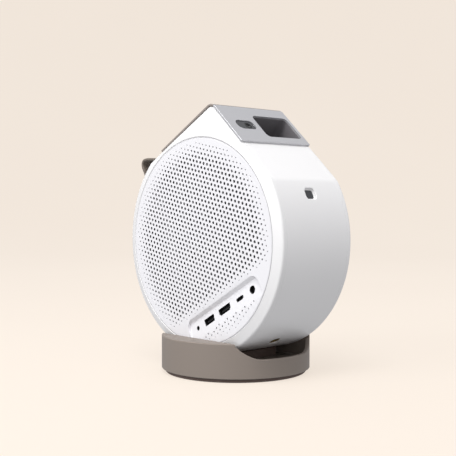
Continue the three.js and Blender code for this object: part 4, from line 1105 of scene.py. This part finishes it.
# %% Camera window, camera lens and sensor window
lens2_low, lens2_high = node_box("camera_lens", LENS_FLAT)
CAMERA_LENS_AT = ((lens2_low.x + lens2_high.x) / 2, (lens2_low.y + lens2_high.y) / 2)
CAMERA_LENS_RADIUS = (lens2_high.x - lens2_low.x) / 2
pane_steps = [(-0.35 * MM, eye_high.z), (-0.1 * MM, eye_high.z - 0.1 * MM),
              (0.0, eye_high.z - 0.35 * MM), (0.0, eye_low.z)]
pane = loft("camera_pane", [upright(camera_outline(grow - GAP), height) for grow, height in pane_steps])
eye_hole = circle(CAMERA_LENS_RADIUS + 0.05 * MM, *CAMERA_LENS_AT, 64)
carve(pane, plug("eye_cut", eye_hole, eye_low.z - MM, eye_high.z + MM))
finish(pane, "drum", dark_glass, "dark_glass", "camera_window", place=LENS_FLAT)

top = min(lens2_high.z, eye_high.z) + 0.05 * MM
barrel_profile = [(CAMERA_LENS_RADIUS, lens2_low.z), (CAMERA_LENS_RADIUS, top - 0.15 * MM),
                  (CAMERA_LENS_RADIUS - 0.15 * MM, top), (CAMERA_LENS_RADIUS - 0.7 * MM, top),
                  (CAMERA_LENS_RADIUS - 0.9 * MM, top - 0.35 * MM),
                  (CAMERA_LENS_RADIUS - 1.3 * MM, top - 0.35 * MM),
                  (CAMERA_LENS_RADIUS - 1.5 * MM, top - 0.6 * MM)]
inner = CAMERA_LENS_RADIUS - 1.5 * MM
for i in range(1, 9):
    share = i / 9
    barrel_profile.append((inner * (1 - share), top - 0.6 * MM + 0.35 * MM * (1 - (1 - share) ** 2)))
eye = turned("camera_eye", barrel_profile, 64, CAMERA_LENS_AT)
finish(eye, "drum", eye_glass, "black_plastic", "camera_lens", place=LENS_FLAT)

SENSOR_PLACE = DRUM @ Matrix.Rotation(SENSOR_ANGLE, 4, "X")
SENSOR_TOP = DRUM_RADIUS - 1.9 * MM
sensor_steps = [(-0.8 * MM, SENSOR_TOP), (-0.5 * MM, SENSOR_TOP - 0.12 * MM),
                (-0.35 * MM, SENSOR_TOP - 0.4 * MM), (-0.35 * MM, SENSOR_TOP - 1.2 * MM)]
sensor = loft("sensor_pane", [upright(sensor_outline(grow), height) for grow, height in sensor_steps])
finish(sensor, "drum", dark_glass, "dark_glass", "sensor_window", place=SENSOR_PLACE)

# %% [markdown]
# A tripod bush is a turned ring with a thread inside, and rings of teeth can stand for the thread.
# The bore's radius is read as the shortest distance from the axis to a corner of the frame's bush.
# The blind end of that bush has a corner on the axis, so the value is 0 and the bore stays shut.
# The corners on its rim, 3.2 mm out, would have to be read instead.

# %% Tripod bush
BUSH_BORE = min(math.hypot(p.x, p.y) for p in node_points("tripod_bush", DRUM))
profile = [(BUSH_BORE + 0.7 * MM, bush_low.z), (BUSH_RADIUS - 0.3 * MM, bush_low.z),
           (BUSH_RADIUS, bush_low.z + 0.3 * MM), (BUSH_RADIUS, bush_high.z), (BUSH_BORE, bush_high.z)]
TEETH = 6
for i in range(TEETH):
    depth = bush_high.z - (i + 1) * (bush_high.z - bush_low.z - MM) / TEETH
    profile += [(BUSH_BORE + 0.5 * MM, depth + 0.6 * MM), (BUSH_BORE, depth)]
bush = swept("tripod_bush_ring", profile, 72)
finish(bush, "drum", brass, "brass", "tripod_bush", place=DRUM, sharp=25)

# %% [markdown]
# The four buttons are small turned caps, dished for a fingertip, with a plain sunken sign each:
# a broken ring for power, a bar and a cross for the volume, and a frame for the source.

# %% Buttons
def button_signs(name, x, y, z):
    low, high = z - 0.35 * MM, z + MM
    bar_across = rounded_rectangle(3.6 * MM, 0.6 * MM, 0.25 * MM, x, y, steps=3)
    bar_along = rounded_rectangle(0.6 * MM, 3.6 * MM, 0.25 * MM, x, y, steps=3)
    if name == "power_button":
        ring = plug("sign", circle(1.9 * MM, x, y), low, high)
        carve(ring, plug("core", circle(1.35 * MM, x, y), low - MM, high + MM))
        slit = rounded_rectangle(1.2 * MM, 2 * MM, 0.1 * MM, x, y + 1.8 * MM, steps=2)
        carve(ring, plug("slit", slit, low - MM, high + MM))
        stroke = rounded_rectangle(0.55 * MM, 1.7 * MM, 0.2 * MM, x, y + 1.3 * MM, steps=3)
        return [ring, plug("stroke", stroke, low, high)]
    if name == "volume_down_button":
        return [plug("minus", bar_across, low, high)]
    if name == "volume_up_button":
        upright_bar = plug("up", bar_along, low, high)
        return [carve(plug("plus", bar_across, low, high), upright_bar, operation="UNION")]
    screen = plug("screen", rounded_rectangle(4.0 * MM, 2.8 * MM, 0.4 * MM, x, y, steps=3), low, high)
    glass = rounded_rectangle(2.9 * MM, 1.7 * MM, 0.2 * MM, x, y, steps=3)
    return [carve(screen, plug("glass", glass, low - MM, high + MM))]


for name in BUTTONS:
    low, high = node_box(name, DRUM)
    x, y, radius = (low.x + high.x) / 2, (low.y + high.y) / 2, (high.x - low.x) / 2
    profile = [(radius, low.z), (radius, high.z - 0.4 * MM), (radius - 0.12 * MM, high.z - 0.12 * MM),
               (radius - 0.4 * MM, high.z), (radius * 0.75, high.z - 0.03 * MM),
               (radius * 0.5, high.z - 0.12 * MM), (radius * 0.25, high.z - 0.17 * MM)]
    cap = turned(name + "_cap", profile, 64, (x, y))
    carve(cap, *button_signs(name, x, y, high.z))
    finish(cap, name, silver_plate, "silver_plate", name, place=DRUM)

# %% [markdown]
# The cradle is a round base. Two solid cheeks stand beside the drum and sweep down to low walls
# in front and behind. It is swept round the centre: at each angle the wall's section runs up the
# outside, over the top and down the inside, and its height follows the sweep.

# %% Base shell
base_low, base_high = node_box("base_shell", Matrix.Identity(4))
BASE_RADIUS = base_high.x
CHEEK_TOP = base_high.z
BASE_WALL = 3.6 * MM
CHEEK_INNER = FACE_HALF + 0.8 * MM
DIP_HEIGHT = 17.4 * MM
DIP_FILLET = 24 * MM
DIP_SWEEP = 20.3 * MM
FLOOR_TOP = 11 * MM
FLOOR_UNDER = 8.5 * MM
FLOOR_HOLE = 8 * MM
BASE_STEPS = 360


def wall_top(x):
    """The height of the base's edge over a given x: low walls, a round sweep and flat cheeks."""
    across = min(abs(x) - (CHEEK_INNER - DIP_SWEEP), DIP_FILLET - 1e-5)
    swept = DIP_HEIGHT + DIP_FILLET - math.sqrt(DIP_FILLET ** 2 - across ** 2) if across > 0 else DIP_HEIGHT
    if abs(x) >= CHEEK_INNER:
        swept = CHEEK_TOP + 2 * MM
    soft = 1.6 * MM
    share = max(0.0, min(1.0, 0.5 + (CHEEK_TOP - swept) / (2 * soft)))
    return min(CHEEK_TOP, swept * share + CHEEK_TOP * (1 - share) - soft * share * (1 - share))


def base_section(angle):
    inner = min(BASE_RADIUS - BASE_WALL, CHEEK_INNER / max(abs(math.cos(angle)), 1e-6))
    section = [(BASE_RADIUS - 0.5 * MM, base_low.z, False), (BASE_RADIUS, base_low.z + 0.5 * MM, False)]
    round_edge = 0.9 * MM
    for i in range(5):
        turn = i / 4 * math.pi / 2
        outer = BASE_RADIUS - round_edge * (1 - math.cos(turn))
        section.append((outer, round_edge * (math.sin(turn) - 1), True))
    for i in range(5):
        turn = i / 4 * math.pi / 2
        section.append((inner + round_edge * (1 - math.sin(turn)), round_edge * (math.cos(turn) - 1), True))
    lower = [(inner, FLOOR_TOP + 0.8 * MM), (inner - 0.8 * MM, FLOOR_TOP), (FLOOR_HOLE, FLOOR_TOP),
             (FLOOR_HOLE, FLOOR_UNDER), (BASE_RADIUS - BASE_WALL, FLOOR_UNDER),
             (BASE_RADIUS - BASE_WALL, base_low.z)]
    section += [(radius, height, False) for radius, height in lower]
    ring = []
    for radius, height, on_top in section:
        x, y = radius * math.cos(angle), radius * math.sin(angle)
        ring.append((x, y, height + wall_top(x) if on_top else height))
    return ring


base_turns = [2 * math.pi * i / BASE_STEPS for i in range(BASE_STEPS)]
base = loft("cradle_shell", [base_section(turn) for turn in base_turns], closed=True)
room = plug("drum_room", circle(DRUM_RADIUS + 0.6 * MM, steps=360), -CHEEK_INNER, CHEEK_INNER)
room.data.transform(Matrix.Translation(AXLE) @ Matrix.Rotation(math.pi / 2, 4, "Y"))
carve(base, room)
finish(base, "base", taupe_base, "taupe_base", "base_shell", sharp=38)

# %% [markdown]
# Under the shell sits a dull rubber foot with fine ribs. The three screws of the bottom plate get
# tapered heads with a cross recess, placed by a second Geometry Nodes tree.

# %% Foot pad
foot_high = node_box("foot_pad", Matrix.Identity(4))[1]
FOOT_CORE = 8 * MM
profile = [(FOOT_CORE, foot_high.z), (foot_high.x - 0.5 * MM, foot_high.z),
           (foot_high.x, foot_high.z - 0.5 * MM), (foot_high.x, 0.6 * MM), (foot_high.x - 0.6 * MM, 0)]
FOOT_RIBS = 5
GROOVE = 0.8 * MM
for i in range(FOOT_RIBS):
    outer = foot_high.x - (4 + 3 * i) * MM
    profile += [(outer, 0), (outer - 0.4 * MM, GROOVE), (outer - 1.4 * MM, GROOVE), (outer - 1.8 * MM, 0)]
profile.append((FOOT_CORE, 0))
foot = turned("foot_ring", profile, 180)
finish(foot, "base", soft_rubber, "soft_rubber", "foot_pad")

# %% Screws
def screw_ring():
    """Tapered heads with a cross recess, spaced evenly on a circle."""
    t = Tree("screw_ring")
    count = t.value("Count", "NodeSocketInt")
    circle_radius = t.value("Circle Radius")
    start = t.value("Start Angle")
    head_radius = t.value("Head Radius")
    depth = t.value("Head Depth")
    material = t.value("Material", "NodeSocketMaterial")
    points = t.node("GeometryNodePoints", None, {"Count": count})[0]
    index = t.node("GeometryNodeInputIndex")[0]
    turn = t.math("ADD", start, t.math("DIVIDE", t.math("MULTIPLY", index, 2 * math.pi), count))
    place = t.vector(t.math("MULTIPLY", t.math("COSINE", turn), circle_radius),
                     t.math("MULTIPLY", t.math("SINE", turn), circle_radius), 0.0)
    placed = t.node("GeometryNodeSetPosition", None, {"Geometry": points, "Position": place})[0]
    head = t.node("GeometryNodeMeshCone", {"fill_type": "NGON"}, {
        "Vertices": 32, "Radius Top": head_radius, "Depth": depth,
        "Radius Bottom": t.math("MULTIPLY", head_radius, 0.88)})[0]
    bar = t.vector(t.math("MULTIPLY", head_radius, 1.1), t.math("MULTIPLY", head_radius, 0.26), depth)
    cut = head
    for angle in (0.0, math.pi / 2):
        cube = t.node("GeometryNodeMeshCube", None, {"Size": bar})[0]
        arm = t.node("GeometryNodeTransform", None, {"Geometry": cube, "Rotation": (0.0, 0.0, angle)})[0]
        settings = {"operation": "DIFFERENCE", "solver": "EXACT"}
        cut = t.node("GeometryNodeMeshBoolean", settings, {0: cut, 1: arm})[0]
    heads = t.node("GeometryNodeInstanceOnPoints", None, {"Points": placed, "Instance": cut})[0]
    solid = t.node("GeometryNodeRealizeInstances", None, {"Geometry": heads})[0]
    dressed = t.node("GeometryNodeSetMaterial", None, {"Geometry": solid, "Material": material})[0]
    t.tree.links.new(dressed, t.output.inputs["Geometry"])
    return t


screw_low, screw_high = node_box("base_screw_1", Matrix.Identity(4))
screw_middle = (screw_low + screw_high) / 2
screws = mesh_piece("bottom_screws", [], [])
screw_ring().apply(screws, Count=3, Circle_Radius=screw_middle.xy.length,
                   Start_Angle=math.atan2(screw_middle.y, screw_middle.x),
                   Head_Radius=(screw_high.x - screw_low.x) / 2, Head_Depth=screw_high.z - screw_low.z,
                   Material=steel.material)
screws.data.transform(Matrix.Translation((0, 0, screw_low.z)))
finish(screws, "base", steel, "steel", "base_screw_1", "base_screw_2", "base_screw_3")

# %% [markdown]
# The studio: a round floor that curves up into a wall on every side, in one even cream. It glows
# by itself, so that it stays even, and still takes a faint shadow from the object. It is hidden
# from bounced light, so the white plastic stays neutral and is shaded by the lights and the air.

# %% Floor and backdrop
def studio_look():
    look = Look("studio_cream", Emission_Strength=0.84)
    drift = look.noise(0.6, 3.0)
    glow = look.blend(drift, paint(243, 232, 220), paint(241, 229, 217))
    shade = look.blend(drift, paint(118, 113, 107), paint(116, 111, 105))
    look.set(Base_Color=shade, Emission_Color=glow, Roughness=0.9 + 0.05 * (drift - 0.5))
    return look.bump(look.noise(0.03, 2.0), 0.00002)


studio = studio_look()
along_view = Vector((math.sin(CAMERA_TURN), math.cos(CAMERA_TURN), 0))
beside_view = Vector((along_view.y, -along_view.x, 0))
FLOOR_RADIUS = 1.6
COVE = 1.2
WALL_HEIGHT = 5.0
TURNS = 96
sweep = [(0.02, 0.0), (0.6, 0.0), (FLOOR_RADIUS, 0.0)]
for i in range(1, 13):
    turn = i * math.pi / 24
    sweep.append((FLOOR_RADIUS + COVE * math.sin(turn), COVE - COVE * math.cos(turn)))
sweep.append((FLOOR_RADIUS + COVE, WALL_HEIGHT))
corners = [point for radius, height in sweep for point in upright(circle(radius, steps=TURNS), height)]
faces = [tuple(range(TURNS))]
for ring in range(len(sweep) - 1):
    for i in range(TURNS):
        a, b = ring * TURNS + i, ring * TURNS + (i + 1) % TURNS
        faces.append((a, a + TURNS, b + TURNS, b))
backdrop = mesh_piece("studio_backdrop", corners, faces)
backdrop.data.materials.append(studio.material)
backdrop.data.polygons.foreach_set("use_smooth", [True] * len(faces))
backdrop.visible_diffuse = False
backdrop.visible_glossy = False
backdrop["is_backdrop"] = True

# %% [markdown]
# The key light is large and stands to the left, so the grille is almost white. A second light
# high in front brightens the plates and the top of the barrel, which then goes grey towards its
# underside. The air gives the rest: it is brighter above than below.

# %% Lights
def area_light(name, place, energy, width, height, colour=(1, 1, 1)):
    light = bpy.data.lights.new(name, "AREA")
    light.shape = "RECTANGLE"
    light.size, light.size_y = width, height
    light.energy = energy
    light.color = colour
    lamp = bpy.data.objects.new(name, light)
    lamp.location = AXLE + along_view * place[0] + beside_view * place[1] + Vector((0, 0, place[2]))
    lamp.rotation_euler = (AXLE - lamp.location).to_track_quat("-Z", "Y").to_euler()
    bpy.context.scene.collection.objects.link(lamp)
    return lamp


area_light("key", (-0.85, -1.1, 0.75), 9.6, 0.9, 0.9)
area_light("top", (-0.8, -0.2, 1.45), 16.0, 0.8, 0.8)
world = bpy.data.worlds.new("studio_air")
world.use_nodes = True
air = world.node_tree
direction = air.nodes.new("ShaderNodeSeparateXYZ")
shade = air.nodes.new("ShaderNodeMapRange")
for key, value in {"From Min": -0.6, "From Max": 0.7, "To Min": 0.52, "To Max": 0.64}.items():
    shade.inputs[key].default_value = value
air.links.new(air.nodes.new("ShaderNodeTexCoord").outputs["Generated"], direction.inputs[0])
air.links.new(direction.outputs["Z"], shade.inputs["Value"])
air.links.new(shade.outputs[0], air.nodes["Background"].inputs["Strength"])
air.nodes["Background"].inputs["Color"].default_value = (0.98, 0.98, 1.0, 1.0)
bpy.context.scene.world = world
print("lights ready")

# %% [markdown]
# Last, the two sizes are printed: the frame's box as it was loaded and the shown model's box now.
# The new pieces have to fill the same space as the frame does.

# %% Finish
shown_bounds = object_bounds()
sizes = {"cad": [list(corner) for corner in cad_bounds], "shown": [list(corner) for corner in shown_bounds]}
for label, (low, high) in sizes.items():
    print(label, [round((b - a) / MM, 2) for a, b in zip(low, high)], "mm")
